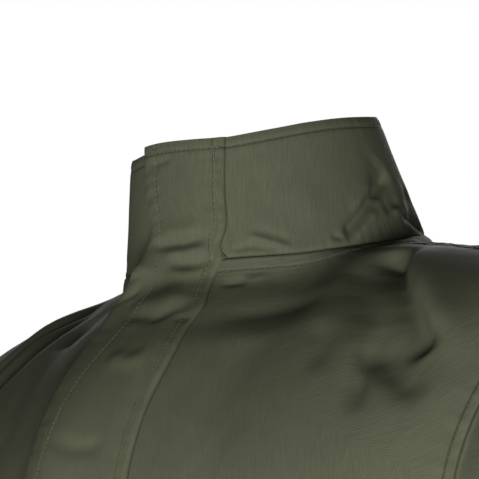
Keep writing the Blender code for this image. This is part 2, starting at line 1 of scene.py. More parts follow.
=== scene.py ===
"""Finished look of a work jacket with a stand-up collar and a flap over its front.

The jacket is filled out as if worn. Every cloth piece is a fine sheet worked out from
one smooth form, the same form that its plain solid follows, with its folds, creases,
seam puckers and turned edges raised on it, and then given its own thickness. The
topstitching is real thread, laid stitch by stitch along the seams.

Metres, +Z up. +X is the wearer's left and -Y the front. The origin is the middle of
the neck opening, level with the shoulders' neck points.
"""

import logging
import math
from dataclasses import dataclass, field
from enum import Enum
from typing import Callable, NamedTuple

import bmesh
import bpy
import numpy as np
from bpy.types import Material, Mesh, Node, NodeSocket, NodeTree, Object
from mathutils import Matrix, Vector
from mathutils.kdtree import KDTree

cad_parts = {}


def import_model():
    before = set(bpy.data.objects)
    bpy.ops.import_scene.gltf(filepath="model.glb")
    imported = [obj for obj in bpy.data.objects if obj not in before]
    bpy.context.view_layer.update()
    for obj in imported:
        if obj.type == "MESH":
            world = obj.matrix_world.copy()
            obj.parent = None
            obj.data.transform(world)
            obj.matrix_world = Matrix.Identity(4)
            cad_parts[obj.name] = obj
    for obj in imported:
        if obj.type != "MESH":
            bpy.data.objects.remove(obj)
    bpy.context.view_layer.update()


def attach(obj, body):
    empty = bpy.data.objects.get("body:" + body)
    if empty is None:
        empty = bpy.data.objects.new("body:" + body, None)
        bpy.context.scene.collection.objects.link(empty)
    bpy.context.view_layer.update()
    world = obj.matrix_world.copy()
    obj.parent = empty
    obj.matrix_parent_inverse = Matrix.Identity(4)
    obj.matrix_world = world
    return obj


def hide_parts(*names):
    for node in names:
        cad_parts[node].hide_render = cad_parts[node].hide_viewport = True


log = logging.getLogger("work_jacket")

MM = 0.001
TO_RIGHT = np.array([-1.0, 1.0, 1.0])

PlaceFinder = Callable[[float, float], np.ndarray]
Lumps = tuple[tuple[float, float], ...]


class Side(Enum):
    """Front or back of the trunk, with the sign of Y on that side."""

    FRONT = -1
    BACK = 1


class Level(NamedTuple):
    """Half sizes of the trunk at one height."""

    height: float
    half_width: float
    front: float
    back: float


class Ridge(NamedTuple):
    """Height of the form straight above the side axis."""

    across: float
    height: float


class NeckStation(NamedTuple):
    """Neck seam and collar height at one angle from centre front, in degrees."""

    angle: float
    height: float
    collar: float


class ArmholeStation(NamedTuple):
    """Armhole outline: how far across it lies at one height of the form."""

    height: float
    front: float
    back: float


class SleeveRing(NamedTuple):
    """Sleeve ring: its top and under points as (across, height), and its depth."""

    top: tuple[float, float]
    under: tuple[float, float]
    middle: float
    half_depth: float


class FlapLine(NamedTuple):
    """How far across the flap's seam and free edge lie at one height.

    `margin` is how far its topstitching lies inside the free edge.
    """

    height: float
    seam: float
    free_edge: float
    margin: float


class Fold(NamedTuple):
    """Large soft fold from one place of a surface to another.

    Its width and height are in millimetres, and it is raised if its height is over 0.
    """

    surface: str
    first: tuple[float, float]
    last: tuple[float, float]
    width: float
    raised: float


class Crease(NamedTuple):
    """Smaller crease along a line of places, with its width and height in millimetres.

    `fade` is the share of its length over which each end dies out.
    """

    path: tuple[tuple[float, float], ...]
    width: float
    raised: float
    fade: float = 0.35


TRUNK = (
    Level(height=-0.700, half_width=0.214, front=0.150, back=0.142),
    Level(height=-0.560, half_width=0.207, front=0.147, back=0.130),
    Level(height=-0.430, half_width=0.200, front=0.146, back=0.123),
    Level(height=-0.330, half_width=0.203, front=0.153, back=0.129),
    Level(height=-0.268, half_width=0.212, front=0.156, back=0.134),
    Level(height=-0.200, half_width=0.226, front=0.158, back=0.139),
    Level(height=-0.120, half_width=0.236, front=0.158, back=0.140),
    Level(height=0.080, half_width=0.236, front=0.157, back=0.140),
)

RIDGE = (
    Ridge(across=-0.020, height=0.0267),
    Ridge(across=0.000, height=0.0283),
    Ridge(across=0.020, height=0.0267),
    Ridge(across=0.040, height=0.0210),
    Ridge(across=0.060, height=0.0105),
    Ridge(across=0.080, height=0.0000),
    Ridge(across=0.100, height=-0.0025),
    Ridge(across=0.130, height=-0.0080),
    Ridge(across=0.170, height=-0.0165),
    Ridge(across=0.225, height=-0.0310),
)

NECK = (
    NeckStation(angle=-30.0, height=-0.0129, collar=0.0660),
    NeckStation(angle=0.0, height=-0.0131, collar=0.0660),
    NeckStation(angle=30.0, height=-0.0127, collar=0.0654),
    NeckStation(angle=55.0, height=-0.0101, collar=0.0683),
    NeckStation(angle=70.0, height=-0.0060, collar=0.0686),
    NeckStation(angle=90.0, height=0.0000, collar=0.0682),
    NeckStation(angle=112.0, height=0.0082, collar=0.0655),
    NeckStation(angle=130.0, height=0.0135, collar=0.0645),
    NeckStation(angle=180.0, height=0.0165, collar=0.0665),
)

ARMHOLE = (
    ArmholeStation(height=-0.268, front=0.2120, back=0.2120),
    ArmholeStation(height=-0.245, front=0.2060, back=0.2065),
    ArmholeStation(height=-0.200, front=0.2030, back=0.2045),
    ArmholeStation(height=-0.150, front=0.2000, back=0.2030),
    ArmholeStation(height=-0.092, front=0.2060, back=0.2070),
    ArmholeStation(height=-0.053, front=0.2160, back=0.2160),
    ArmholeStation(height=-0.031, front=0.2250, back=0.2250),
)

SLEEVE = (
    SleeveRing((0.225, -0.0310), (0.212, -0.268), middle=-0.004, half_depth=0.0780),
    SleeveRing((0.252, -0.0450), (0.221, -0.265), middle=-0.004, half_depth=0.0790),
    SleeveRing((0.281, -0.0810), (0.232, -0.276), middle=-0.004, half_depth=0.0790),
    SleeveRing((0.308, -0.1350), (0.240, -0.299), middle=-0.004, half_depth=0.0780),
    SleeveRing((0.329, -0.1980), (0.247, -0.330), middle=-0.003, half_depth=0.0760),
    SleeveRing((0.350, -0.2750), (0.259, -0.375), middle=-0.002, half_depth=0.0725),
    SleeveRing((0.371, -0.3550), (0.274, -0.430), middle=-0.006, half_depth=0.0670),
    SleeveRing((0.388, -0.4350), (0.290, -0.485), middle=-0.014, half_depth=0.0620),
    SleeveRing((0.399, -0.5200), (0.303, -0.550), middle=-0.026, half_depth=0.0560),
    SleeveRing((0.405, -0.5950), (0.313, -0.615), middle=-0.040, half_depth=0.0500),
    SleeveRing((0.407, -0.6400), (0.319, -0.662), middle=-0.050, half_depth=0.0470),
)

FLAP = (
    FlapLine(height=-0.700, seam=0.0415, free_edge=-0.0220, margin=0.0150),
    FlapLine(height=-0.130, seam=0.0415, free_edge=-0.0220, margin=0.0150),
    FlapLine(height=-0.075, seam=0.0408, free_edge=-0.0210, margin=0.0165),
    FlapLine(height=-0.045, seam=0.0426, free_edge=-0.0190, margin=0.0200),
    FlapLine(height=-0.030, seam=0.0400, free_edge=-0.0180, margin=0.0192),
    FlapLine(height=-0.020, seam=0.0400, free_edge=-0.0160, margin=0.0150),
    FlapLine(height=-0.013, seam=0.0362, free_edge=-0.0115, margin=0.0120),
    FlapLine(height=-0.006, seam=0.0334, free_edge=-0.0070, margin=0.0095),
    FlapLine(height=0.002, seam=0.0358, free_edge=-0.0035, margin=0.0070),
    FlapLine(height=0.023, seam=0.0356, free_edge=-0.0094, margin=0.0092),
    FlapLine(height=0.053, seam=0.0354, free_edge=-0.0113, margin=0.0090),
)

# Trunk places are (across, height) on the form, in millimetres, negative on the
# wearer's right. Sleeve places are (degrees round from the top towards the front, share
# of the length). Collar places are (degrees round from centre front, share of the height).
FOLDS = (
    Fold("front", (98, -3), (188, -86), 12, -7.5),
    Fold("front", (124, -4), (204, -74), 13, 4),
    Fold("front", (-96, -4), (-176, -86), 12, -6),
    Fold("front", (-120, -8), (-194, -90), 14, 3.5),
    Fold("front", (-8, -28), (-4, -330), 24, 9),
    Fold("front", (-12, -30), (124, -27), 14, -2.2),
    Fold("front", (142, -50), (184, -92), 9, -3.8),
    Fold("front", (196, -215), (120, -330), 18, 5),
    Fold("front", (204, -250), (150, -380), 17, -4.5),
    Fold("front", (-198, -220), (-115, -320), 18, 5),
    Fold("front", (-205, -255), (-155, -400), 17, -4.5),
    Fold("front", (190, -420), (85, -470), 18, 4.5),
    Fold("front", (-188, -430), (-80, -500), 18, 4.5),
    Fold("front", (120, -520), (150, -690), 20, -4.5),
    Fold("front", (-105, -540), (-140, -690), 20, -4.5),
    Fold("back", (120, -40), (190, -190), 18, -5),
    Fold("back", (-125, -45), (-192, -200), 18, -5),
    Fold("back", (200, -230), (110, -350), 19, 5.5),
    Fold("back", (-202, -235), (-105, -340), 19, 5.5),
    Fold("back", (190, -400), (60, -450), 18, 5),
    Fold("back", (-185, -420), (-50, -490), 18, 5),
    Fold("back", (60, -520), (85, -690), 22, -5),
    Fold("back", (-75, -500), (-110, -690), 22, -5),
    Fold("sleeve", (40.0, 0.10), (120.0, 0.30), 17, -5),
    Fold("sleeve", (-45.0, 0.12), (-125.0, 0.30), 17, -5),
    Fold("sleeve", (30.0, 0.46), (125.0, 0.55), 15, 5),
    Fold("sleeve", (60.0, 0.60), (160.0, 0.56), 14, -5),
    Fold("sleeve", (45.0, 0.70), (140.0, 0.62), 14, 4.5),
    Fold("sleeve", (-60.0, 0.52), (-150.0, 0.62), 16, -4.5),
    Fold("sleeve", (20.0, 0.80), (110.0, 0.88), 13, -3.5),
    Fold("sleeve", (-30.0, 0.78), (-120.0, 0.86), 13, -3.5),
    Fold("collar", (92.0, 0.36), (106.0, 0.66), 8, -1.6),
    Fold("collar", (98.0, 0.05), (118.0, 0.50), 8, 1.4),
    Fold("collar", (116.0, 0.10), (130.0, 0.42), 8, -2.2),
    Fold("collar", (-92.0, 0.08), (-112.0, 0.58), 9, -2.6),
)

# Creases of the trunk and the flap lie at (across, height) as seen straight from the
# front or the back, in millimetres.
FRONT_CREASES = (
    Crease(((107, -9.5), (119, -21.7), (137, -35.9), (148, -46.4), (157, -56.6), (165, -65.8),
            (176, -80)), 8.4, -9.8, 0.12),
    Crease(((133, -14), (155, -37), (165, -50), (178, -65), (186, -80)), 8, 1.6, 0.3),
    Crease(((140, -60), (144, -73.5), (149, -90), (153, -112)), 6.4, -4.2),
    Crease(((34, -25.6), (39.8, -26.2), (43, -25.8), (49, -24)), 3, -1.2),
    Crease(((42, -21), (49, -24), (57, -22)), 2, 0.7, 0.4),
    Crease(((45, -47), (62, -47), (80, -43), (100, -36)), 7.5, -1),
    Crease(((50, -64), (72, -63), (96, -58)), 9, 0.9, 0.4),
    Crease(((105, -52), (118, -65), (128, -88)), 7, -2, 0.4),
    Crease(((70, -110), (98, -160), (118, -215)), 12, -2.5, 0.4),
    Crease(((165, -150), (150, -190), (128, -222)), 7, 2.2),
    Crease(((192, -236), (165, -262), (128, -284)), 6, -2.4),
    Crease(((200, -262), (176, -310), (144, -342)), 7, 2.6),
    Crease(((120, -392), (92, -408), (66, -412)), 6.5, -1.7, 0.4),
    Crease(((180, -440), (146, -470), (108, -482)), 6.5, -2.2, 0.4),
    Crease(((88, -560), (96, -620), (92, -690)), 10, 2.4, 0.3),
    Crease(((165, -560), (172, -625), (166, -690)), 9, -2.2, 0.3),
    Crease(((-100, -8), (-124, -24), (-150, -50), (-170, -82)), 7, -4, 0.2),
    Crease(((-50, -30), (-74, -42), (-104, -46)), 8, -2.2, 0.4),
    Crease(((-36, -17), (-44, -21), (-52, -20)), 2.2, -0.9, 0.4),
    Crease(((-62, -120), (-92, -175), (-104, -235)), 12, -2.4, 0.4),
    Crease(((-190, -232), (-160, -255), (-118, -262)), 6.5, -2.6),
    Crease(((-196, -256), (-172, -296), (-132, -326)), 7, 2.4),
    Crease(((-132, -380), (-100, -404), (-62, -410)), 6.5, -1.7, 0.4),
    Crease(((-176, -452), (-138, -476), (-96, -476)), 7, -2.2, 0.4),
    Crease(((-78, -575), (-90, -630), (-84, -690)), 10, 2.2, 0.3),
    Crease(((-158, -580), (-170, -640), (-162, -690)), 9, -2, 0.3),
)

BACK_CREASES = (
    Crease(((60, 0), (88, -30), (106, -72)), 8, -2.4),
    Crease(((-64, -2), (-86, -34), (-96, -78)), 8.5, -2.2),
    Crease(((110, -12), (146, -40), (172, -88)), 8, 2.2),
    Crease(((-106, -12), (-140, -44), (-168, -94)), 8, 2.2),
    Crease(((196, -205), (160, -238), (112, -252)), 7, -2.8),
    Crease(((200, -236), (170, -286), (124, -318)), 7.5, 2.8),
    Crease(((-194, -210), (-152, -244), (-100, -250)), 7, -2.8),
    Crease(((-198, -242), (-166, -296), (-116, -322)), 7.5, 2.6),
    Crease(((170, -372), (120, -402), (66, -402)), 7, -2.4, 0.4),
    Crease(((-160, -388), (-104, -416), (-48, -412)), 7.5, -2.4, 0.4),
    Crease(((150, -452), (100, -486), (50, -492)), 7, 2.2, 0.4),
    Crease(((-166, -462), (-112, -508), (-60, -520)), 7, 2.2, 0.4),
    Crease(((30, -480), (42, -580), (38, -690)), 11, 2.6, 0.3),
    Crease(((130, -560), (144, -630), (138, -690)), 10, -2.6, 0.3),
    Crease(((-36, -550), (-44, -620), (-40, -690)), 11, -2.4, 0.3),
    Crease(((-150, -570), (-158, -635), (-150, -690)), 10, 2.2, 0.3),
)

FLAP_CREASES = (
    Crease(((-10, 40.5), (-1.2, 41.8), (11.4, 43.2)), 1.8, -0.8, 0.25),
    Crease(((-6, -1.8), (3.2, -2.7), (16.6, -2.6), (32.5, -1)), 3.6, -2.6, 0.3),
    Crease(((0, 4), (14, 4), (28, 5)), 4, 1),
    Crease(((4, -7.5), (16, -8), (30, -5.5)), 3, 1.2, 0.3),
    Crease(((9, -12.2), (17, -14.2), (23.5, -14.6), (33, -11.2)), 3.4, -2.3, 0.3),
    Crease(((7.3, -17.5), (19.7, -19.5), (30, -16)), 3.2, 1.4, 0.3),
    Crease(((-6, -38), (12, -38.5), (31, -33)), 14, 2.6),
    Crease(((-6, -44), (2.7, -43.6), (19.2, -45.2), (27.5, -40.1), (35, -35)), 4.6, -2.4, 0.28),
    Crease(((27, -45.9), (34.3, -47.5), (38.9, -47.4)), 2, -1.4),
    Crease(((-16, -21.2), (-9, -20.8), (-2, -20.5)), 1.5, -1, 0.3),
    Crease(((-20, -32.5), (-8, -30.9), (-1, -27)), 1.8, -1.4, 0.3),
    Crease(((4, -66), (19, -72), (33, -70)), 5, 1.6),
    Crease(((-10, -110), (8, -118), (30, -116)), 4.5, -1.4),
    Crease(((35, -205), (16, -215), (-6, -212)), 5, -1.4),
    Crease(((-12, -320), (6, -328), (26, -322)), 4.5, -1.3),
    Crease(((34, -425), (14, -433), (-8, -428)), 5, -1.4),
    Crease(((-10, -540), (8, -548), (28, -544)), 5, -1.2),
)

# Places are (degrees round from centre front, share of the collar's height).
COLLAR_CREASES = (
    Crease(((72.0, 0.06), (76.8, 0.15), (82.8, 0.24), (87.8, 0.31), (93.5, 0.37), (101.5, 0.46),
            (110.0, 0.55)), 3.8, -4.2, 0.16),
    Crease(((78.0, 0.26), (84.0, 0.35), (91.0, 0.44), (98.0, 0.53)), 4.2, 1.4, 0.3),
    Crease(((67.0, 0.09), (69.8, 0.09), (72.8, 0.07)), 1.9, -1.2, 0.25),
    Crease(((74.8, 0.04), (80.4, 0.12), (87.0, 0.21), (93.0, 0.28)), 3.4, 1.6, 0.3),
    Crease(((93.5, 0.24), (101.2, 0.27), (110.0, 0.295)), 4.2, -1.8, 0.38),
    Crease(((100.0, 0.30), (108.0, 0.345), (118.0, 0.41)), 5.2, -1.2),
    Crease(((98.0, 0.205), (107.0, 0.235), (115.0, 0.235)), 2.6, 1.4, 0.3),
    Crease(((101.5, 0.16), (109.8, 0.18), (115.5, 0.14), (122.2, 0.08),
            (132.2, 0.05)), 3.8, -2.6, 0.3),
    Crease(((27.5, 0.05), (35.0, 0.09), (42.0, 0.07), (47.0, 0.03)), 2, -1, 0.25),
    Crease(((34.5, 0.20), (41.0, 0.14), (48.0, 0.08), (53.0, 0.04)), 1.8, 1.1, 0.25),
    Crease(((37.0, 0.24), (45.0, 0.18), (53.0, 0.10)), 2.2, -0.6),
    Crease(((44.5, 0.80), (43.5, 0.50), (42.0, 0.25)), 5.5, -0.7, 0.4),
    Crease(((55.0, 0.62), (62.0, 0.40), (66.0, 0.16)), 8, 0.8, 0.4),
    Crease(((140.0, 0.06), (148.0, 0.24), (160.0, 0.40)), 3, -2.2, 0.3),
    Crease(((196.0, 0.05), (206.0, 0.20), (214.0, 0.32)), 3, -1.8, 0.3),
    Crease(((236.0, 0.52), (250.0, 0.30), (266.0, 0.10)), 3.4, -2.6, 0.3),
    Crease(((256.0, 0.42), (270.0, 0.24), (284.0, 0.08)), 3.2, 1.6, 0.3),
    Crease(((300.0, 0.06), (312.0, 0.14), (322.0, 0.08)), 2.2, -1.1, 0.3),
)

# Places are (degrees round from the top towards the front, share of the length).
SLEEVE_CREASES = (
    Crease(((20.0, 0.05), (52.0, 0.12), (80.0, 0.22)), 8, -2.6),
    Crease(((80.0, 0.06), (110.0, 0.16), (132.0, 0.26)), 7, 2.6),
    Crease(((-24.0, 0.06), (-56.0, 0.13), (-84.0, 0.20)), 8, -2.4),
    Crease(((-84.0, 0.08), (-116.0, 0.16), (-140.0, 0.28)), 7, 2.6),
    Crease(((150.0, 0.14), (120.0, 0.26), (84.0, 0.33)), 7, -2.8),
    Crease(((-150.0, 0.12), (-124.0, 0.24), (-90.0, 0.30)), 7, -2.6),
    Crease(((52.0, 0.40), (84.0, 0.46), (122.0, 0.47)), 6.5, -3, 0.3),
    Crease(((66.0, 0.50), (96.0, 0.53), (134.0, 0.51)), 6, 3, 0.3),
    Crease(((58.0, 0.545), (90.0, 0.57), (126.0, 0.565)), 5.5, -2.8, 0.3),
    Crease(((80.0, 0.625), (112.0, 0.605), (150.0, 0.585)), 6, 2.6, 0.3),
    Crease(((-110.0, 0.44), (-138.0, 0.50), (-168.0, 0.53)), 6.5, -2.4),
    Crease(((-96.0, 0.56), (-126.0, 0.60), (-158.0, 0.60)), 6.5, 2.2),
    Crease(((14.0, 0.68), (44.0, 0.74), (84.0, 0.75)), 7, -2.2, 0.4),
    Crease(((-20.0, 0.70), (-52.0, 0.75), (-92.0, 0.74)), 7, -2, 0.4),
    Crease(((90.0, 0.80), (126.0, 0.84), (160.0, 0.82)), 6.5, -2),
    Crease(((40.0, 0.91), (70.0, 0.94), (108.0, 0.93)), 6, 1.8),
    Crease(((-50.0, 0.90), (-84.0, 0.93), (-120.0, 0.91)), 6, 1.6),
)


def smooth_curve(knots: np.ndarray, values: np.ndarray, at: np.ndarray) -> np.ndarray:
    """Smooth curve through values at rising knots, held past the first and last.

    Args:
        knots: Rising places of the values.
        values: One value for each knot.
        at: Places to read the curve at.

    Returns:
        The curve's value at each place.
    """
    at = np.clip(np.asarray(at, float), knots[0], knots[-1])
    slopes = np.gradient(values, knots)
    i = np.clip(np.searchsorted(knots, at) - 1, 0, len(knots) - 2)
    step = knots[i + 1] - knots[i]
    t = (at - knots[i]) / step
    start = (2 * t**3 - 3 * t**2 + 1) * values[i] + (t**3 - 2 * t**2 + t) * step * slopes[i]
    end = (3 * t**2 - 2 * t**3) * values[i + 1] + (t**3 - t**2) * step * slopes[i + 1]
    return start + end


def read_table(table: tuple, key: str, name: str, at: np.ndarray) -> np.ndarray:
    """Smooth curve through one column of a table, with another rising down its rows.

    Args:
        table: Rows with named columns.
        key: Column of the knots.
        name: Column of the values.
        at: Places to read the curve at.

    Returns:
        The value at each place.
    """
    knots = np.array([getattr(row, key) for row in table], float)
    values = np.array([getattr(row, name) for row in table], float)
    return smooth_curve(knots, values, at)


def ease(t: np.ndarray) -> np.ndarray:
    """Smooth step from 0 to 1."""
    t = np.clip(t, 0.0, 1.0)
    return t * t * (3.0 - 2.0 * t)


def unit(vectors: np.ndarray) -> np.ndarray:
    """Vectors brought to length 1."""
    lengths = np.linalg.norm(vectors, axis=-1, keepdims=True)
    return vectors / np.maximum(lengths, 1e-12)


def mirrored(points: np.ndarray) -> np.ndarray:
    """The same rows of points on the wearer's other side, with their faces still outwards."""
    return (points * TO_RIGHT)[:, ::-1]


def run_along(line: np.ndarray) -> np.ndarray:
    """Distance of each point of a line from its start."""
    steps = np.linalg.norm(np.diff(line, axis=0), axis=1)
    return np.concatenate([[0.0], np.cumsum(steps)])


def resample(line: np.ndarray, places: np.ndarray | list[float]) -> np.ndarray:
    """Points of a line at given distances from its start."""
    along = run_along(line)
    return np.stack([np.interp(places, along, line[:, i]) for i in range(3)], axis=1)


def near_line(points: np.ndarray, line: np.ndarray) -> tuple[np.ndarray, np.ndarray]:
    """How far points lie from a line, and where along it they lie.

    Args:
        points: Any array of points.
        line: The line's points in order.

    Returns:
        The distance of each point, and its nearest place's run along the line.
    """
    runs = run_along(line)
    best = np.full(points.shape[:-1], np.inf)
    place = np.zeros(points.shape[:-1])
    for k in range(len(line) - 1):
        step = line[k + 1] - line[k]
        length = max(float(step @ step), 1e-16)
        t = np.clip(((points - line[k]) @ step) / length, 0.0, 1.0)
        away = np.linalg.norm(points - line[k] - t[..., None] * step, axis=-1)
        nearer = away < best
        best = np.where(nearer, away, best)
        place = np.where(nearer, runs[k] + t * (runs[k + 1] - runs[k]), place)
    return best, place


def spaced(length: float, count: int, fine: tuple[float, ...]) -> np.ndarray:
    """Places along a length: fine ones at both ends and even ones between.

    Args:
        length: Whole length.
        count: Number of even spaces.
        fine: Rising distances from each end, starting with 0.

    Returns:
        Rising places from 0 to the length.
    """
    ends = np.array(fine)
    middle = np.linspace(ends[-1], length - ends[-1], count + 1)[1:-1]
    return np.concatenate([ends, middle, (length - ends)[::-1]])


def grid_normals(points: np.ndarray) -> np.ndarray:
    """Outward unit normals of rows of points."""
    across = points[:, 1:] - points[:, :-1]
    along = points[1:] - points[:-1]
    faces = np.cross(across[:-1] + across[1:], along[:, :-1] + along[:, 1:])
    total = np.zeros_like(points)
    for rows in (slice(0, -1), slice(1, None)):
        for columns in (slice(0, -1), slice(1, None)):
            total[rows, columns] += faces
    return unit(total)


def ripple(place: np.ndarray, length: float, shift: float) -> np.ndarray:
    """Uneven wave along a line, between about -1 and 1.

    Args:
        place: Distance along the line.
        length: Usual length of a wave.
        shift: Start of the wave, so that neighbours differ.

    Returns:
        The wave's height at each place.
    """
    turn = 2.0 * math.pi * place / length
    slow = np.sin(turn * 0.23 + 2.0 * shift)
    first = np.sin(turn + 1.9 * slow + shift)
    second = np.sin(turn * 0.57 + 2.3 * np.sin(turn * 0.13 + shift) + 1.3 * shift)
    return 0.55 * first + 0.45 * second


def unevenness(points: np.ndarray, length: float, shift: float) -> np.ndarray:
    """Soft lumps over a surface, between about -1 and 1, the same on every run."""
    turn = 2.0 * math.pi * points / length
    x, y, z = turn[..., 0], turn[..., 1], turn[..., 2]
    a = np.sin(x * 0.83 + 1.7 * np.sin(z * 0.41 + shift) + y * 0.31)
    b = np.sin(z * 0.71 + 1.5 * np.sin(x * 0.53 + 2.0 * shift) - y * 0.47)
    c = np.sin(y * 0.92 + 1.3 * np.sin(x * 0.37 - z * 0.29 + shift))
    return (a + b + c) / 3.0


@dataclass(frozen=True)
class JacketForm:
    """The smooth form of the filled-out jacket, from a few driving dimensions."""

    body_length: float = 0.700
    underarm_height: float = -0.268
    neck_half_width: float = 0.080
    neck_half_depth: float = 0.085
    collar_top_half_width: float = 0.0655
    collar_top_half_depth: float = 0.0703
    collar_top_forward: float = 0.0161
    collar_foot: float = -0.013
    collar_head: float = 0.053
    collar_drop: float = 0.0020
    drop_start: float = 250.0
    drop_full: float = 290.0
    drop_end: float = 16.0
    left_front_edge: float = 0.022
    right_front_edge: float = 0.020
    roundness: float = 2.36
    front_fall: float = 0.186
    back_fall: float = 0.205
    nape_rise: float = 0.0150
    neck_tilt: float = 0.17
    tilt_full: float = -0.04
    tilt_gone: float = -0.22
    neck_ease: float = 0.05
    half_armhole: float = 0.28
    underarm_sag: float = 0.030
    sag_reach: float = 0.07
    sag_shape: float = 6.75
    armhole_reach: float = 0.4
    chest_armhole_share: float = 0.52
    fine: int = 240
    hollow_depth: float = 0.0072
    hollow_reach: float = 0.0155
    hollow_full: float = 45.0
    hollow_gone: float = 76.0

    def fall(self, side: Side) -> float:
        """Drop from the ridge to where the form stands upright."""
        return self.front_fall if side is Side.FRONT else self.back_fall

    def girth_depth(self, across: np.ndarray, height: np.ndarray, side: Side) -> np.ndarray:
        """Depth of the trunk's rounded outline at a place across."""
        width = read_table(TRUNK, "height", "half_width", height)
        depth = read_table(TRUNK, "height", side.name.lower(), height)
        share = np.clip(np.abs(across) / width, 0.0, 1.0)
        return depth * (1.0 - share**self.roundness) ** (1.0 / self.roundness)

    def ridge_height(self, across: np.ndarray, side: Side) -> np.ndarray:
        """Height of the shoulder ridge, which the back carries on higher inside the neck."""
        across = np.abs(across)
        ridge = read_table(RIDGE, "across", "height", across)
        if side is Side.FRONT:
            return ridge
        inside = np.clip(1.0 - (across / self.neck_half_width) ** 4, 0.0, 1.0)
        return ridge + self.nape_rise * inside**1.5

    def plain_face(self, across: np.ndarray, height: np.ndarray, side: Side) -> np.ndarray:
        """Point of the form before it is drawn to the neck seam."""
        across, height = np.broadcast_arrays(across, height)
        drop = np.clip((self.ridge_height(across, side) - height) / self.fall(side), 0.0, 1.0)
        depth = self.girth_depth(across, height, side)
        y = side.value * depth * np.sqrt(1.0 - (1.0 - drop) ** 2)
        lean = self.neck_tilt * ease((height - self.tilt_gone) / (self.tilt_full - self.tilt_gone))
        return np.stack([across, y, height + lean * y], axis=-1)

    def neck_point(self, angle: np.ndarray) -> np.ndarray:
        """Point of the neck seam at an angle from centre front, in degrees."""
        turn = np.radians(angle)
        folded = np.abs((np.asarray(angle, float) + 180.0) % 360.0 - 180.0)
        height = read_table(NECK, "angle", "height", folded)
        x = self.neck_half_width * np.sin(turn)
        y = -self.neck_half_depth * np.cos(turn)
        return np.stack([x, y, height], axis=-1)

    def neck_on_form(self, angle: np.ndarray) -> tuple[np.ndarray, np.ndarray]:
        """Across and height, on the form, of the place under a point of the neck seam."""
        turn = np.radians(angle)
        across = self.neck_half_width * np.sin(turn)
        depth = np.abs(self.neck_half_depth * np.cos(turn))
        height = np.zeros_like(across)
        for side in Side:
            reach = np.clip(depth / self.girth_depth(across, 0.0, side), 0.0, 1.0)
            level = self.ridge_height(across, side)
            level = level - self.fall(side) * (1.0 - np.sqrt(1.0 - reach**2))
            chosen = (np.cos(turn) > 0.0) == (side is Side.FRONT)
            height = np.where(chosen, level, height)
        return across, height

    def face(self, across: np.ndarray, height: np.ndarray, side: Side) -> np.ndarray:
        """Point of the jacket's outer face, drawn to the neck seam close to it.

        Args:
            across: How far across, positive on the wearer's left.
            height: Height on the form.
            side: Front or back.

        Returns:
            The points.
        """
        points = self.plain_face(across, height, side)
        x = points[..., 0] / self.neck_half_width
        angle = np.degrees(np.arctan2(x, -points[..., 1] / self.neck_half_depth))
        neck_across, neck_height = self.neck_on_form(angle)
        front = self.plain_face(neck_across, neck_height, Side.FRONT)
        back = self.plain_face(neck_across, neck_height, Side.BACK)
        seated = np.where((np.abs(angle) <= 90.0)[..., None], front, back)
        away = np.linalg.norm(points - seated, axis=-1)
        pull = np.exp(-((away / self.neck_ease) ** 2))[..., None]
        return points + (self.neck_point(angle) - seated) * pull

    def armhole_place(self, share: float, side: Side) -> tuple[float, float]:
        """Across and height of the armhole, from the underarm (0) to the shoulder (1)."""
        low, high = ARMHOLE[0].height, ARMHOLE[-1].height
        height = low + (high - low) * (1.0 - math.cos(math.pi * share)) / 2.0
        return float(read_table(ARMHOLE, "height", side.name.lower(), height)), height

    def neck_corner(self, across: float, side: Side) -> tuple[float, float]:
        """Angle and height of the neck seam over a place across."""
        angle = math.degrees(math.asin(across / self.neck_half_width))
        angle = angle if side is Side.FRONT else 180.0 - angle
        return angle, float(self.neck_on_form(angle)[1])

    def row(
        self,
        first: tuple[float, float],
        last: tuple[float, float],
        level_share: float,
        sag: float,
        side: Side,
        columns: int,
        fine: tuple[float, ...],
    ) -> np.ndarray:
        """Points along one row of a panel, from its edge to its side.

        Args:
            first: Across and height of the row's start.
            last: Across and height of its end.
            level_share: 1 for a level row, 0 for one that keeps its drop under the ridge.
            sag: How far the row dips before its end, to meet the armhole's foot squarely.
            side: Front or back.
            columns: Number of even spaces.
            fine: Finer distances kept at both ends.

        Returns:
            The row's points.
        """
        turn = np.linspace(0.0, 1.0, self.fine)
        across = first[0] + (last[0] - first[0]) * np.sin(turn * np.pi / 2.0)
        share = (across - first[0]) / (last[0] - first[0])
        level = first[1] + (last[1] - first[1]) * share
        first_drop = self.ridge_height(first[0], side) - first[1]
        last_drop = self.ridge_height(last[0], side) - last[1]
        hung = self.ridge_height(across, side) - (first_drop + (last_drop - first_drop) * share)
        height = level * level_share + hung * (1.0 - level_share)
        height -= sag * self.sag_shape * turn**2 * (1.0 - turn)
        points = self.face(across, height, side)
        length = run_along(points)[-1]
        return resample(points, spaced(length, columns, fine))

    def neck_hollow(self, points: np.ndarray) -> np.ndarray:
        """How far the front sinks below its neck seam, where it hangs on from the collar.

        Args:
            points: Points of a front or of the face under the flap.

        Returns:
            The height to raise each point, 0 or less.
        """
        line = self.neck_point(np.linspace(-90.0, 90.0, 61))
        share = near_line(points, line)[0] / self.hollow_reach
        x = points[..., 0] / self.neck_half_width
        angle = np.abs(np.degrees(np.arctan2(x, -points[..., 1] / self.neck_half_depth)))
        kept = ease((self.hollow_gone - angle) / (self.hollow_gone - self.hollow_full))
        return -self.hollow_depth * share * np.exp(1.0 - share) * kept

    def sag(self, distance: float) -> float:
        """Sag of a row whose end lies some way along the side from the underarm."""
        return self.underarm_sag * math.exp(-((distance / self.sag_reach) ** 2))

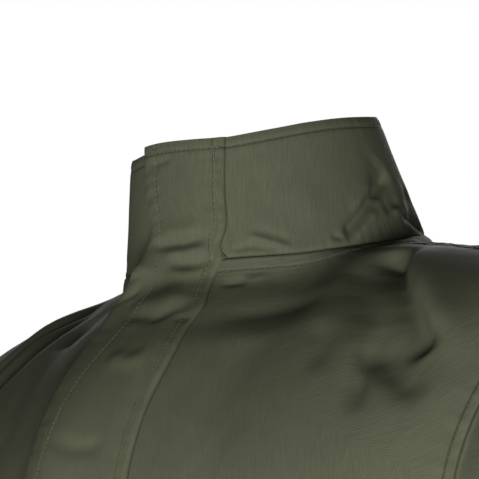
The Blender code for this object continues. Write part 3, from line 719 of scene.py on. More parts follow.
    def collar_point(self, angle: np.ndarray, up: np.ndarray) -> np.ndarray:
        """Point of the collar's outer face, with up 0 at the neck seam and 1 at the top."""
        turn = np.radians(angle)
        folded = np.abs((np.asarray(angle, float) + 180.0) % 360.0 - 180.0)
        base = self.neck_point(angle)
        x = self.collar_top_half_width * np.sin(turn)
        y = -self.collar_top_forward - self.collar_top_half_depth * np.cos(turn)
        z = base[..., 2] + read_table(NECK, "angle", "collar", folded)
        top = np.stack([x, y, z], axis=-1)
        return base + (top - base) * np.asarray(up, float)[..., None]

    def collar_angle(self, across: np.ndarray | float, up: float) -> np.ndarray:
        """Angle at which the collar's front passes a place across, in degrees."""
        narrowing = self.collar_top_half_width - self.neck_half_width
        return np.degrees(np.arcsin(across / (self.neck_half_width + narrowing * up)))

    def oval(self, station: float, turn: np.ndarray) -> np.ndarray:
        """Point of the sleeve's plain oval ring, with turn 0 at the top, in radians."""
        shares = np.linspace(0.0, 1.0, len(SLEEVE))

        def ring(values: list[float]) -> float:
            """Value at this share of the sleeve's length."""
            return float(smooth_curve(shares, np.array(values), station))

        top = [ring([row.top[i] for row in SLEEVE]) for i in (0, 1)]
        under = [ring([row.under[i] for row in SLEEVE]) for i in (0, 1)]
        x = (top[0] + under[0]) / 2.0 + (top[0] - under[0]) / 2.0 * np.cos(turn)
        z = (top[1] + under[1]) / 2.0 + (top[1] - under[1]) / 2.0 * np.cos(turn)
        depth = ring([row.half_depth for row in SLEEVE])
        y = ring([row.middle for row in SLEEVE]) - depth * np.sin(turn)
        return np.stack([x, y, z], axis=-1)

    def fold_path(self, fold: Fold) -> np.ndarray:
        """Points of a large fold's line on its surface."""
        t = np.linspace(0.0, 1.0, 9)
        a = fold.first[0] + (fold.last[0] - fold.first[0]) * t
        b = fold.first[1] + (fold.last[1] - fold.first[1]) * t
        if fold.surface in ("front", "back"):
            return self.face(a * MM, b * MM, Side[fold.surface.upper()])
        if fold.surface == "collar":
            return self.collar_point(a, b)
        return np.array([self.oval(s, np.radians(angle)) for angle, s in zip(a, b)])


@dataclass(frozen=True)
class SeamLine:
    """How a sheet is finished along a line: a seam, or a turned edge.

    Attributes:
        line: Points of the border.
        dip: How far the edge rolls in.
        pucker: Height of the ripples that the stitching draws up.
        reach: How far the ripples run into the cloth.
        wave: Usual length of a ripple.
        inset: Distance of its topstitching, or 0 where it has none; one value, or one
            for each point of the line.
        welt: How far the cloth stands up over the turned edge inside the stitches.
        sunk: Share of the full groove that its stitches draw in, and of the width of
        the painted shade along them.
        free: How far a turned edge, sewn to nothing, keeps from the painted shade of a
        seam.
    """

    line: np.ndarray
    dip: float = 0.0009
    pucker: float = 0.00030
    reach: float = 0.010
    wave: float = 0.0085
    inset: np.ndarray | float = 0.0
    welt: float = 0.0
    sunk: float = 1.0
    free: float = 0.0


@dataclass
class ClothSheet:
    """One cut piece of cloth as rows of points on its outer face.

    Attributes:
        points: Its rows of points.
        wave_shift: Start of its waves, so that no two pieces pucker alike.
        line_points: Most points kept of a seam's line.
        crease_points: Points kept of a crease's line.
        margin: How far past the sheet's sides a crease may still reach it.
        edge_roll: Width of the edge that rolls in.
        pucker_start: How far from the seam the puckers reach their full height.
        welt_rise: Width over which the cloth stands up to a turned edge.
        welt_lap: How far that rise lies inside the stitches.
        groove_depth: Depth of the groove that the stitches draw in.
        groove_width: Half the width of that groove.
    """

    points: np.ndarray
    wave_shift: float = 0.0
    line_points: int = 150
    crease_points: int = 14
    margin: float = 0.02
    edge_roll: float = 0.0016
    pucker_start: float = 0.003
    welt_rise: float = 0.0016
    welt_lap: float = 0.0004
    groove_depth: float = 0.00025
    groove_width: float = 0.0014
    seam_distance: np.ndarray = field(init=False)
    stitch_distance: np.ndarray = field(init=False)

    def __post_init__(self) -> None:
        """Start with no seams near."""
        self.seam_distance = np.full(self.points.shape[:2], 1.0)
        self.stitch_distance = np.full(self.points.shape[:2], 1.0)

    def lift(self, heights: np.ndarray) -> None:
        """Move every point out along its normal."""
        self.points = self.points + grid_normals(self.points) * heights[..., None]

    def raise_folds(
        self,
        form: JacketForm,
        surfaces: tuple[str, ...],
        held: np.ndarray | float = 1.0,
        fade: float = 0.3,
    ) -> None:
        """Raise the large folds of some surfaces.

        Args:
            form: The form that the folds' places lie on.
            surfaces: Names of the surfaces whose folds reach this sheet.
            held: Share of the folds kept at each point, less beside a stiff seam.
            fade: Share of each fold's length over which its ends die out.
        """
        heights = np.zeros(self.points.shape[:2])
        for fold in FOLDS:
            if fold.surface not in surfaces:
                continue
            path = form.fold_path(fold)
            paths = [path]
            if fold.surface == "sleeve":
                paths.append(path * TO_RIGHT)
            for line in paths:
                away, run = near_line(self.points, line)
                share = run / run_along(line)[-1]
                taper = ease(share / fade) * ease((1.0 - share) / fade)
                spread = away / (fold.width * MM)
                heights += fold.raised * MM * np.exp(-(spread**2)) * taper
        self.lift(heights * held)

    def crease_heights(self, crease: Crease, line: np.ndarray) -> np.ndarray:
        """How far one crease raises each point.

        Args:
            crease: Its width, height and fading.
            line: Its points on this sheet.

        Returns:
            The height at each point, 0 where the sheet has less of it than its width.
        """
        width = crease.width * MM
        if run_along(line)[-1] <= width:
            return np.zeros(self.points.shape[:2])
        fine_line = resample(line, np.linspace(0.0, run_along(line)[-1], self.crease_points))
        away, run = near_line(self.points, fine_line)
        share = run / run_along(fine_line)[-1]
        taper = ease(share / crease.fade) * ease((1.0 - share) / crease.fade)
        return crease.raised * MM * np.exp(-((away / width) ** 2)) * taper

    def seen_place(self, across: float, height: float) -> np.ndarray:
        """Point of the sheet at a place across and a height, as seen from the front."""
        miss = (self.points[..., 0] - across) ** 2 + (self.points[..., 2] - height) ** 2
        return self.points[np.unravel_index(np.argmin(miss), miss.shape)]

    def raise_seen_creases(self, creases: tuple[Crease, ...]) -> None:
        """Raise creases whose places are (across, height) as seen from the front."""
        heights = np.zeros(self.points.shape[:2])
        low = self.points[..., 0].min() - self.margin
        high = self.points[..., 0].max() + self.margin
        for crease in creases:
            places = np.array(crease.path) * MM
            if ((low < places[:, 0]) & (places[:, 0] < high)).any():
                line = np.array([self.seen_place(*place) for place in places])
                heights += self.crease_heights(crease, line)
        self.lift(heights)

    def raise_placed_creases(self, creases: tuple[Crease, ...], find: PlaceFinder) -> None:
        """Raise creases whose places are found on the form.

        Args:
            creases: The creases.
            find: Gives the form's point at a place.
        """
        heights = np.zeros(self.points.shape[:2])
        for crease in creases:
            line = []
            for place in crease.path:
                away = np.linalg.norm(self.points - find(*place), axis=-1)
                line.append(self.points[np.unravel_index(np.argmin(away), away.shape)])
            heights += self.crease_heights(crease, np.array(line))
        self.lift(heights)

    def roughen(self, lumps: Lumps) -> None:
        """Give the cloth soft unevenness, each kind of lump by its height and length."""
        for height, length in lumps:
            self.lift(height * unevenness(self.points, length, self.wave_shift))

    def sew(self, seams: list[SeamLine]) -> None:
        """Roll the edges in, draw up the puckers, and keep the distances for the finish.

        Args:
            seams: The sheet's seams and turned edges.
        """
        heights = np.zeros(self.points.shape[:2])
        for number, seam in enumerate(seams):
            count = min(len(seam.line), self.line_points)
            line = resample(seam.line, np.linspace(0.0, run_along(seam.line)[-1], count))
            away, run = near_line(self.points, line)
            near = np.exp(-((away / seam.reach) ** 2)) * ease(away / self.pucker_start)
            shift = self.wave_shift + 1.7 * number
            heights += seam.pucker * near * ripple(run, seam.wave, shift)
            heights -= seam.dip * np.exp(-((away / self.edge_roll) ** 2))
            self.seam_distance = np.minimum(self.seam_distance, away + seam.free)
            insets = np.broadcast_to(np.asarray(seam.inset, float), (len(seam.line),))
            if insets.max() > 0.0:
                signed = away - np.interp(run, run_along(seam.line), insets)
                heights += seam.welt * (1.0 - ease((signed + self.welt_lap) / self.welt_rise))
                drawn = np.exp(-((signed / self.groove_width) ** 2))
                heights -= self.groove_depth * seam.sunk * drawn
                # Dividing by the share narrows the band of painted shade along a shallower groove.
                signed = signed / seam.sunk
                nearer = np.abs(signed) < np.abs(self.stitch_distance)
                self.stitch_distance = np.where(nearer, signed, self.stitch_distance)
        self.lift(heights)

    def area(self) -> float:
        """Area of the outer face, in square metres."""
        across = self.points[:, 1:] - self.points[:, :-1]
        along = self.points[1:] - self.points[:-1]
        faces = np.cross(across[:-1] + across[1:], along[:, :-1] + along[:, 1:]) / 4.0
        return float(np.linalg.norm(faces, axis=-1).sum())

    def cut_size(self) -> tuple[float, float]:
        """Width and length of the rectangle that the flat piece is cut from."""
        rows = np.linalg.norm(np.diff(self.points, axis=1), axis=2).sum(axis=1)
        columns = np.linalg.norm(np.diff(self.points, axis=0), axis=2).sum(axis=0)
        return float(rows.max()), float(columns.max())


@dataclass(frozen=True)
class ClothFinish:
    """Fine twill or tape, as procedural nodes over the piece's own flat size.

    The real cloth is a cotton-mix twill, dyed in the piece and brushed matte. It gives
    the eye a dull olive with steep, fine, slightly broken ribs, with painted shade where
    a seam sinks in and along the topstitching, and a little lighter where the turned
    edges are rubbed. A real twill's ribs lie about 0.6 mm apart: they are drawn coarser
    here, so that they show in the picture.

    Attributes:
        name: Name of the finish.
        colour: sRGB hex colour of the cloth under soft light.
        rib: Distance between two twill ribs, in millimetres.
        rib_height: Height of the ribs, in millimetres.
        sheen: Weight of the fibres' soft glow at grazing angles.
        roughness: Roughness of the cloth.
        worn: How much lighter the rubbed edges and ribs are.
        rib_lean: Lean of the ribs from the cloth's length, in radians.
    """

    name: str
    colour: str
    rib: float = 1.25
    rib_height: float = 0.05
    sheen: float = 0.03
    roughness: float = 0.82
    worn: float = 0.10
    rib_lean: float = math.radians(27.0)

    def build(self) -> Material:
        """The finish as a material."""
        material, tree, shader = new_material(self.name)
        flat = self._flat_place(tree)
        ribs = self._ribs(tree, flat)
        slubs = self._slubs(tree, flat)
        tree.links.new(self._colour(tree, ribs, slubs), shader.inputs["Base Color"])
        tree.links.new(self._bump(tree, ribs, slubs), shader.inputs["Normal"])
        shader.inputs["Roughness"].default_value = self.roughness
        shader.inputs["Sheen Weight"].default_value = self.sheen
        shader.inputs["Sheen Roughness"].default_value = 0.45
        shader.inputs["Sheen Tint"].default_value = linear("#C9CBB0")
        shader.inputs["IOR"].default_value = 1.45
        shader.inputs["Specular IOR Level"].default_value = 0.35
        return material

    def _flat_place(self, tree: NodeTree) -> NodeSocket:
        """Place on the flat cloth, in millimetres."""
        place = add_node(tree, "ShaderNodeUVMap", {}, uv_map="cut").outputs["UV"]
        inputs = {"Vector": place, "Scale": 1.0 / MM}
        return add_node(tree, "ShaderNodeVectorMath", inputs, operation="SCALE").outputs["Vector"]

    def _along_ribs(
        self, tree: NodeTree, flat: NodeSocket, scale: tuple[float, float, float]
    ) -> NodeSocket:
        """Place on the cloth, turned so that Y runs along the ribs, and scaled.

        Args:
            tree: The material's nodes.
            flat: Place on the flat cloth.
            scale: Scale across and along the ribs.

        Returns:
            The place's socket.
        """
        inputs = {"Vector": flat, "Rotation": (0.0, 0.0, self.rib_lean), "Scale": scale}
        return add_node(tree, "ShaderNodeMapping", inputs, vector_type="POINT").outputs["Vector"]

    def _ribs(self, tree: NodeTree, flat: NodeSocket) -> NodeSocket:
        """Steep diagonal twill ribs, 0 to 1, broken up a little along their length."""
        turned = self._along_ribs(tree, flat, (1.0, 1.0, 1.0))
        across = add_node(tree, "ShaderNodeSeparateXYZ", {"Vector": turned}).outputs["X"]
        turn = add_math(tree, "MULTIPLY", across, 2.0 * math.pi / self.rib)
        wander = add_math(tree, "MULTIPLY", add_noise(tree, flat, 0.11, 1.0), 5.0)
        wave = add_math(tree, "SINE", add_math(tree, "ADD", turn, wander))
        return add_math(tree, "MULTIPLY_ADD", wave, 0.5, 0.5)

    def _slubs(self, tree: NodeTree, flat: NodeSocket) -> NodeSocket:
        """Thicker and thinner yarns: short streaks along the ribs."""
        stretched = self._along_ribs(tree, flat, (0.85, 0.085, 1.0))
        return add_noise(tree, stretched, 1.0, 3.0)

    def _colour(self, tree: NodeTree, ribs: NodeSocket, slubs: NodeSocket) -> NodeSocket:
        """Cloth colour: dyed unevenly, with painted shade in the seams and along the
        topstitching, lighter where it is rubbed.

        Args:
            tree: The material's nodes.
            ribs: Height of the twill, 0 to 1.
            slubs: Yarn thickness, 0 to 1.

        Returns:
            The colour's socket.
        """
        place = add_node(tree, "ShaderNodeTexCoord", {}).outputs["Object"]
        cloud = add_noise(tree, place, 14.0, 4.0, noise_dimensions="3D")
        shade = add_math(tree, "MULTIPLY_ADD", ribs, 0.12, 0.64)
        shade = add_math(tree, "ADD", shade, add_math(tree, "MULTIPLY", slubs, 0.36))
        shade = add_math(tree, "ADD", shade, add_math(tree, "MULTIPLY", cloud, 0.14))
        seam = add_node(tree, "ShaderNodeAttribute", {}, attribute_name="seam").outputs["Fac"]
        rubbed = add_range(tree, seam, (0.0013, 0.0034), (self.worn, 0.0))
        shade = add_math(tree, "ADD", shade, rubbed)
        # Painted shade: the cloth is darkened within about a millimetre of a seam, where it sinks
        # in.
        sunk = add_range(tree, seam, (0.0003, 0.0013), (0.50, 1.0))
        # Painted shade: the cloth is darkened along each row of topstitching, where its groove lies.
        groove = add_range(tree, self._from_stitches(tree), (0.00020, 0.00085), (0.55, 1.0))
        shade = add_math(tree, "MULTIPLY", shade, sunk)
        return add_shaded(tree, self.colour, add_math(tree, "MULTIPLY", shade, groove))

    def _bump(self, tree: NodeTree, ribs: NodeSocket, slubs: NodeSocket) -> NodeSocket:
        """Relief of the yarns and of the groove that the topstitching draws in.

        Args:
            tree: The material's nodes.
            ribs: Height of the twill, 0 to 1.
            slubs: Yarn thickness, 0 to 1.

        Returns:
            The normal's socket.
        """
        groove = add_range(tree, self._from_stitches(tree), (0.0, 0.0012), (0.0, 0.35),
                           interpolation_type="SMOOTHSTEP")
        relief = add_math(tree, "MULTIPLY", ribs, self.rib_height)
        relief = add_math(tree, "ADD", relief, add_math(tree, "MULTIPLY", slubs, 0.11))
        relief = add_math(tree, "ADD", relief, groove)
        inputs = {"Height": relief, "Distance": MM, "Strength": 0.7}
        return add_node(tree, "ShaderNodeBump", inputs).outputs["Normal"]

    @staticmethod
    def _from_stitches(tree: NodeTree) -> NodeSocket:
        """Distance from the nearest row of topstitches, in metres."""
        signed = add_node(tree, "ShaderNodeAttribute", {}, attribute_name="stitch")
        return add_math(tree, "ABSOLUTE", signed.outputs["Fac"])


@dataclass(frozen=True)
class ThreadFinish:
    """Twisted polyester sewing thread.

    It gives the eye single stitches, each a little shinier than the cloth around it and
    mottled by the thread's twist.
    """

    name: str
    colour: str
    roughness: float = 0.5

    def build(self) -> Material:
        """The finish as a material."""
        material, tree, shader = new_material(self.name)
        place = add_node(tree, "ShaderNodeTexCoord", {}).outputs["Object"]
        twist = add_noise(tree, place, 900.0, 2.0, noise_dimensions="3D")
        shade = add_math(tree, "MULTIPLY_ADD", twist, 0.5, 0.75)
        tree.links.new(add_shaded(tree, self.colour, shade), shader.inputs["Base Color"])
        shader.inputs["Roughness"].default_value = self.roughness
        shader.inputs["Sheen Weight"].default_value = 0.2
        return material


@dataclass(frozen=True)
class FloorFinish:
    """Plain matte studio floor, which glows a little so that it looks pale all round."""

    name: str = "studio_floor"
    colour: str = "#F1F1EF"
    glow: float = 0.30

    def build(self) -> Material:
        """The finish as a material."""
        material, _, shader = new_material(self.name)
        shader.inputs["Base Color"].default_value = linear(self.colour)
        shader.inputs["Emission Color"].default_value = linear(self.colour)
        shader.inputs["Emission Strength"].default_value = self.glow
        shader.inputs["Roughness"].default_value = 0.9
        return material


def linear(hex_colour: str) -> tuple[float, float, float, float]:
    """Linear RGBA of an sRGB hex colour."""
    channels = [int(hex_colour[i : i + 2], 16) / 255.0 for i in (1, 3, 5)]
    spread = [c / 12.92 if c <= 0.04045 else ((c + 0.055) / 1.055) ** 2.4 for c in channels]
    return (spread[0], spread[1], spread[2], 1.0)


def new_material(name: str) -> tuple[Material, NodeTree, Node]:
    """A new material, its nodes and its surface shader."""
    material = bpy.data.materials.new(name)
    material.use_nodes = True
    return material, material.node_tree, material.node_tree.nodes["Principled BSDF"]


def place_object(name: str, data: Mesh | bpy.types.Light | bpy.types.Camera) -> Object:
    """A new object in the scene."""
    item = bpy.data.objects.new(name, data)
    bpy.context.scene.collection.objects.link(item)
    return item


def bearing(azimuth: float, elevation: float) -> Vector:
    """Direction at an angle round from centre front and an angle up, both in radians."""
    level = math.cos(elevation)
    return Vector((math.sin(azimuth) * level, -math.cos(azimuth) * level, math.sin(elevation)))


def add_node(tree: NodeTree, kind: str, inputs: dict[str, object], **settings: object) -> Node:
    """Add a node with its settings, values and links.

    Args:
        tree: The material's nodes.
        kind: The node's type.
        inputs: Its inputs by name, each a value or the socket that feeds it.
        **settings: Its properties by name.

    Returns:
        The node.
    """
    node = tree.nodes.new(kind)
    for name, value in settings.items():
        setattr(node, name, value)
    for name, value in inputs.items():
        if isinstance(value, NodeSocket):
            tree.links.new(value, node.inputs[name])
        else:
            node.inputs[name].default_value = value
    return node


def add_noise(
    tree: NodeTree, place: NodeSocket, scale: float, detail: float, noise_dimensions: str = "2D"
) -> NodeSocket:
    """Add soft noise over a place, about 0 to 1.

    Args:
        tree: The material's nodes.
        place: Where on the cloth.
        scale: Waves for each unit of the place.
        detail: Number of finer waves on top.
        noise_dimensions: "2D" on the flat cloth, "3D" on the jacket.

    Returns:
        The noise's socket.
    """
    inputs = {"Vector": place, "Scale": scale, "Detail": detail}
    noise = add_node(tree, "ShaderNodeTexNoise", inputs, noise_dimensions=noise_dimensions)
    return noise.outputs["Fac"]


def add_range(
    tree: NodeTree,
    value: NodeSocket,
    span: tuple[float, float],
    result: tuple[float, float],
    **settings: object,
) -> NodeSocket:
    """Add a change from one span of values to another, held past its ends.

    Args:
        tree: The material's nodes.
        value: Socket of the value.
        span: First and last value.
        result: What they become.
        **settings: The node's other properties.

    Returns:
        The result's socket.
    """
    inputs = {"Value": value, "From Min": span[0], "From Max": span[1],
              "To Min": result[0], "To Max": result[1]}
    changed = add_node(tree, "ShaderNodeMapRange", inputs, clamp=True, **settings)
    return changed.outputs["Result"]


def add_shaded(tree: NodeTree, hex_colour: str, shade: NodeSocket) -> NodeSocket:
    """Add a colour made darker or lighter by a shade."""
    inputs = {"Vector": linear(hex_colour)[:3], "Scale": shade}
    return add_node(tree, "ShaderNodeVectorMath", inputs, operation="SCALE").outputs["Vector"]


def add_math(
    tree: NodeTree,
    operation: str,
    first: NodeSocket,
    second: NodeSocket | float = 0.0,
    third: float = 0.0,
) -> NodeSocket:
    """Add a sum of one to three values.

    Args:
        tree: The material's nodes.
        operation: The sum's name.
        first: Socket of the first value.
        second: Socket or number of the second value, where the sum has one.
        third: Number of the third value, where the sum has one.

    Returns:
        The result's socket.
    """
    node = tree.nodes.new("ShaderNodeMath")
    node.operation = operation
    tree.links.new(first, node.inputs[0])
    if isinstance(second, NodeSocket):
        tree.links.new(second, node.inputs[1])
    else:
        node.inputs[1].default_value = second
    node.inputs[2].default_value = third
    return node.outputs[0]


@dataclass(frozen=True)
class ClothMaker:
    """Turns a sheet of points into a cloth object with thickness and soft edges."""

    thickness: float
    edge_round: float = 0.0005
    segments: int = 2
    sharp_angle: float = math.radians(60.0)
    weld: float = 1e-7

    def make(self, name: str, sheets: list[ClothSheet], finish: Material) -> Object:
        """Make one cloth object.

        Args:
            name: The object's name.
            sheets: Its outer face, in one or more sheets joined where they meet.
            finish: Its material.

        Returns:
            The object.
        """
        mesh = self._mesh(name, sheets)
        mesh.materials.append(finish)
        piece = place_object(name, mesh)
        wall = piece.modifiers.new("wall", "SOLIDIFY")
        wall.thickness = self.thickness
        wall.offset = -1.0
        soft = piece.modifiers.new("soft_edges", "BEVEL")
        soft.width = self.edge_round
        soft.segments = self.segments
        soft.limit_method = "ANGLE"
        soft.angle_limit = self.sharp_angle
        soft.harden_normals = False
        return piece

    def _mesh(self, name: str, sheets: list[ClothSheet]) -> Mesh:
        """The outer face, with its flat places and seam distances."""
        bm = bmesh.new()
        for sheet in sheets:
            rows, columns = sheet.points.shape[:2]
            bmesh.ops.create_grid(bm, x_segments=columns - 1, y_segments=rows - 1, size=0.5)
        mesh = bpy.data.meshes.new(name)
        bm.to_mesh(mesh)
        bm.free()
        points = np.concatenate([sheet.points.reshape(-1, 3) for sheet in sheets])
        mesh.vertices.foreach_set("co", points.ravel())
        for layer, values in (
            ("seam", [sheet.seam_distance.ravel() for sheet in sheets]),
            ("stitch", [sheet.stitch_distance.ravel() for sheet in sheets]),
        ):
            attribute = mesh.attributes.new(layer, "FLOAT", "POINT")
            attribute.data.foreach_set("value", np.concatenate(values).astype(np.float32))
        places = np.concatenate([self._flat_places(sheet) for sheet in sheets])
        corners = np.empty(len(mesh.loops), dtype=np.int32)
        mesh.loops.foreach_get("vertex_index", corners)
        flat = mesh.uv_layers.new(name="cut")
        flat.data.foreach_set("uv", places[corners].astype(np.float32).ravel())
        bm = bmesh.new()
        bm.from_mesh(mesh)
        bmesh.ops.remove_doubles(bm, verts=bm.verts[:], dist=self.weld)
        bm.to_mesh(mesh)
        bm.free()
        mesh.shade_smooth()
        return mesh

    @staticmethod
    def _flat_places(sheet: ClothSheet) -> np.ndarray:
        """Place of each point on the flat cloth: its run along its row and column."""
        places = np.zeros((*sheet.points.shape[:2], 2))
        steps = np.linalg.norm(np.diff(sheet.points, axis=1), axis=2)
        places[:, 1:, 0] = np.cumsum(steps, axis=1)
        steps = np.linalg.norm(np.diff(sheet.points, axis=0), axis=2)
        places[1:, :, 1] = np.cumsum(steps, axis=0)
        return places.reshape(-1, 2)


@dataclass(frozen=True)
class Topstitching:
    """Rows of single stitches along seams and turned edges.

    Attributes:
        pitch: Distance from one stitch to the next.
        length: Length of a stitch.
        thread: Thickness of the thread.
        proud: Height of a stitch's middle over the cloth, as a share of its thickness.
        sides: Faces round a stitch.
        rings: Faces along a stitch.
        batch: Stitches joined at a time.
    """

    pitch: float = 0.0029
    length: float = 0.0023
    thread: float = 0.00036
    proud: float = 0.25
    sides: int = 6
    rings: int = 4
    batch: int = 40

    def path(self, sheet: ClothSheet, line: np.ndarray, inset: np.ndarray | float) -> np.ndarray:
        """Line on the sheet at a distance inside one of its borders.

        Args:
            sheet: The sheet that is sewn.
            line: Points of the border.
            inset: Distance from the border, one value or one for each point.

        Returns:
            The line's points.
        """
        places = sheet.points.reshape(-1, 3)
        normals = grid_normals(sheet.points).reshape(-1, 3)
        tree = self._tree(places)
        insets = np.broadcast_to(np.asarray(inset, float), (len(line),))
        steps = np.gradient(line, axis=0)
        result = []
        for point, step, distance in zip(line, steps, insets):
            index = tree.find(point)[1]
            sideways = unit(np.cross(normals[index], step))
            choices = [point + sideways * distance, point - sideways * distance]
            result.append(min(choices, key=lambda place: tree.find(place)[2]))
        return np.array(result)

    def lay(self, bm: bmesh.types.BMesh, sheet: ClothSheet, line: np.ndarray) -> None:
        """Lay stitches along a line, on the sheet's outer face.

        Args:
            bm: The thread's mesh.
            sheet: The sheet that is sewn.
            line: Points of the line, on the sheet or close to it.
        """
        places = sheet.points.reshape(-1, 3)
        normals = grid_normals(sheet.points).reshape(-1, 3)
        tree = self._tree(places)
        count = int(run_along(line)[-1] / self.pitch)
        runs = (np.arange(count) + 0.5) * self.pitch
        starts = resample(line, runs - self.length / 2.0)
        ends = resample(line, runs + self.length / 2.0)
        batch = bmesh.new()
        carrier = bpy.data.meshes.new("stitches")
        for number, (start, end) in enumerate(zip(starts, ends)):
            index = tree.find((start + end) / 2.0)[1]
            turn = self._stitch_place(start, end, places[index], normals[index])
            bmesh.ops.create_uvsphere(
                batch, u_segments=self.sides, v_segments=self.rings, radius=1.0, matrix=turn
            )
            if number % self.batch == self.batch - 1 or number == count - 1:
                batch.to_mesh(carrier)
                bm.from_mesh(carrier)
                batch.clear()
        batch.free()
        bpy.data.meshes.remove(carrier)

    def _stitch_place(
        self, start: np.ndarray, end: np.ndarray, place: np.ndarray, normal: np.ndarray
    ) -> Matrix:
        """Where one stitch lies, as the matrix that turns a ball into it.

        Args:
            start: Where the stitch starts, on the cloth or close to it.
            end: Where it ends.
            place: Nearest point of the cloth's face.
            normal: The cloth's normal there.

        Returns:
            The matrix.
        """
        along = unit(end - start)
        along = unit(along - normal * (along @ normal))
        sideways = np.cross(normal, along)
        middle = (start + end) / 2.0
        middle = middle + normal * ((place - middle) @ normal + self.thread * self.proud)
        scales = (self.length / 2.0, self.thread / 2.0, self.thread / 2.0)
        axes = (along, sideways, normal)
        rows = [[axis[i] * scale for axis, scale in zip(axes, scales)] + [middle[i]]
                for i in range(3)]
        return Matrix(rows + [[0.0, 0.0, 0.0, 1.0]]) @ Matrix.Rotation(math.pi / 2.0, 4, "Y")

    def finish(self, name: str, bm: bmesh.types.BMesh, thread: Material) -> Object:
        """The laid stitches as one object."""
        bmesh.ops.recalc_face_normals(bm, faces=bm.faces[:])
        mesh = bpy.data.meshes.new(name)
        bm.to_mesh(mesh)
        bm.free()
        mesh.shade_smooth()
        mesh.materials.append(thread)
        return place_object(name, mesh)

    @staticmethod
    def _tree(places: np.ndarray) -> KDTree:
        """Search tree of some points."""
        tree = KDTree(len(places))
        for index, place in enumerate(places):
            tree.insert(place, index)
        tree.balance()
        return tree


@dataclass(frozen=True)
class Workroom:
    """What every sub-assembly shares: the form, the finishes and the topstitching."""

    form: JacketForm
    finishes: dict[str, Material]
    stitching: Topstitching

    def hang(self, maker: ClothMaker, node: str, slot: str, sheets: list[ClothSheet]) -> None:
        """Make a cloth piece and put it in the place of its plain solid.

        Args:
            maker: Gives the sheets their thickness.
            node: The solid that it stands for.
            slot: The record's material slot, which also names the finish.
            sheets: The sheets that it is cut from, side by side.
        """
        piece = maker.make(f"{node}_{slot.split('_')[-1]}", sheets, self.finishes[slot])
        sizes = [sheet.cut_size() for sheet in sheets]
        width = sum(size[0] for size in sizes)
        length = max(size[1] for size in sizes)
        area = min(sum(sheet.area() for sheet in sheets), width * length)
        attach(piece, "root")
        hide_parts(node)
        log.info("%s: cut %.0f x %.0f mm, %.4f m2", piece.name, width / MM, length / MM, area)

    def sew_on(
        self, name: str, slot: str, thread: str, seams: list[tuple[ClothSheet, np.ndarray]]
    ) -> None:
        """Lay rows of topstitching.

        Args:
            name: Name of the thread's object.
            slot: The record's material slot; not used.
            thread: Name of the thread's finish.
            seams: Each sheet with a line of stitches on it.
        """
        bm = bmesh.new()
        for sheet, line in seams:
            self.stitching.lay(bm, sheet, line)
        piece = self.stitching.finish(name, bm, self.finishes[thread])
        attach(piece, "root")
        log.info("%s: %d rows of stitches", name, len(seams))


class PanelLines(NamedTuple):
    """Border lines of a trunk panel."""

    edge: np.ndarray
    neck: np.ndarray
    side: np.ndarray
    armhole: np.ndarray
    shoulder: np.ndarray
    hem: np.ndarray


@dataclass(frozen=True)
class PanelPattern:
    """Half of the trunk's front or back, cut from hem to shoulder seam."""

    form: JacketForm
    side: Side
    edge: float
    skirt_rows: int = 84
    chest_rows: int = 98
    yoke_rows: int = 70
    columns: int = 166
    crowding: float = 1.25
    seam_steps: tuple[float, ...] = (0.0, 0.0006, 0.0018, 0.0036)
    shoulder_steps: tuple[float, ...] = (0.0280, 0.0140, 0.0045, 0.0)

    @property
    def chest_start(self) -> int:
        """Row at the underarm."""
        return self.skirt_rows + len(self.seam_steps) - 1

    @property
    def yoke_start(self) -> int:
        """Row at the neck's corner."""
        return self.chest_start + self.chest_rows

    def points(self) -> np.ndarray:
        """Rows of points on the form, from the hem up, each from the edge to the side."""
        form = self.form
        corner, corner_height = form.neck_corner(self.edge, self.side)
        hem = -form.body_length
        skirt = np.linspace(hem, form.underarm_height, self.skirt_rows, endpoint=False)
        skirt = np.concatenate([hem + np.array(self.seam_steps), skirt[1:]])
        rows = []
        for height in skirt:
            width = float(read_table(TRUNK, "height", "half_width", height))
            sag = form.sag(form.underarm_height - height)
            rows.append(self._row((self.edge, height), (width, height), 1.0, sag))
        for k in range(self.chest_rows):
            share = k / self.chest_rows
            rise = 1.0 - (1.0 - share) ** self.crowding
            height = form.underarm_height + (corner_height - form.underarm_height) * rise
            reached = form.chest_armhole_share * share
            last = form.armhole_place(reached, self.side)
            sag = form.sag(reached * form.half_armhole)
            rows.append(self._row((self.edge, height), last, 1.0 - share / 2.0, sag))
        even = np.linspace(0.0, 1.0 - self.shoulder_steps[0], self.yoke_rows)
        for share in np.concatenate([even, 1.0 - np.array(self.shoulder_steps[1:])]):
            first = form.neck_on_form(corner + (90.0 - corner) * share)
            reached = form.chest_armhole_share + (1.0 - form.chest_armhole_share) * share
            last = form.armhole_place(reached, self.side)
            rows.append(self._row(first, last, (1.0 - share) / 2.0, 0.0))
        return np.array(rows)

    def lines(self, points: np.ndarray, flipped: bool) -> PanelLines:
        """Border lines of a panel's points, whose columns may run from side to edge."""
        edge, side = (-1, 0) if flipped else (0, -1)
        return PanelLines(
            edge=points[: self.yoke_start + 1, edge],
            neck=points[self.yoke_start :, edge],
            side=points[: self.chest_start + 1, side],
            armhole=points[self.chest_start :, side],
            shoulder=points[-1],
            hem=points[0],
        )

    def _row(
        self, first: tuple[float, float], last: tuple[float, float], level: float, sag: float
    ) -> np.ndarray:
        """One row of the panel."""
        form = self.form
        return form.row(first, last, level, sag, self.side, self.columns, self.seam_steps)


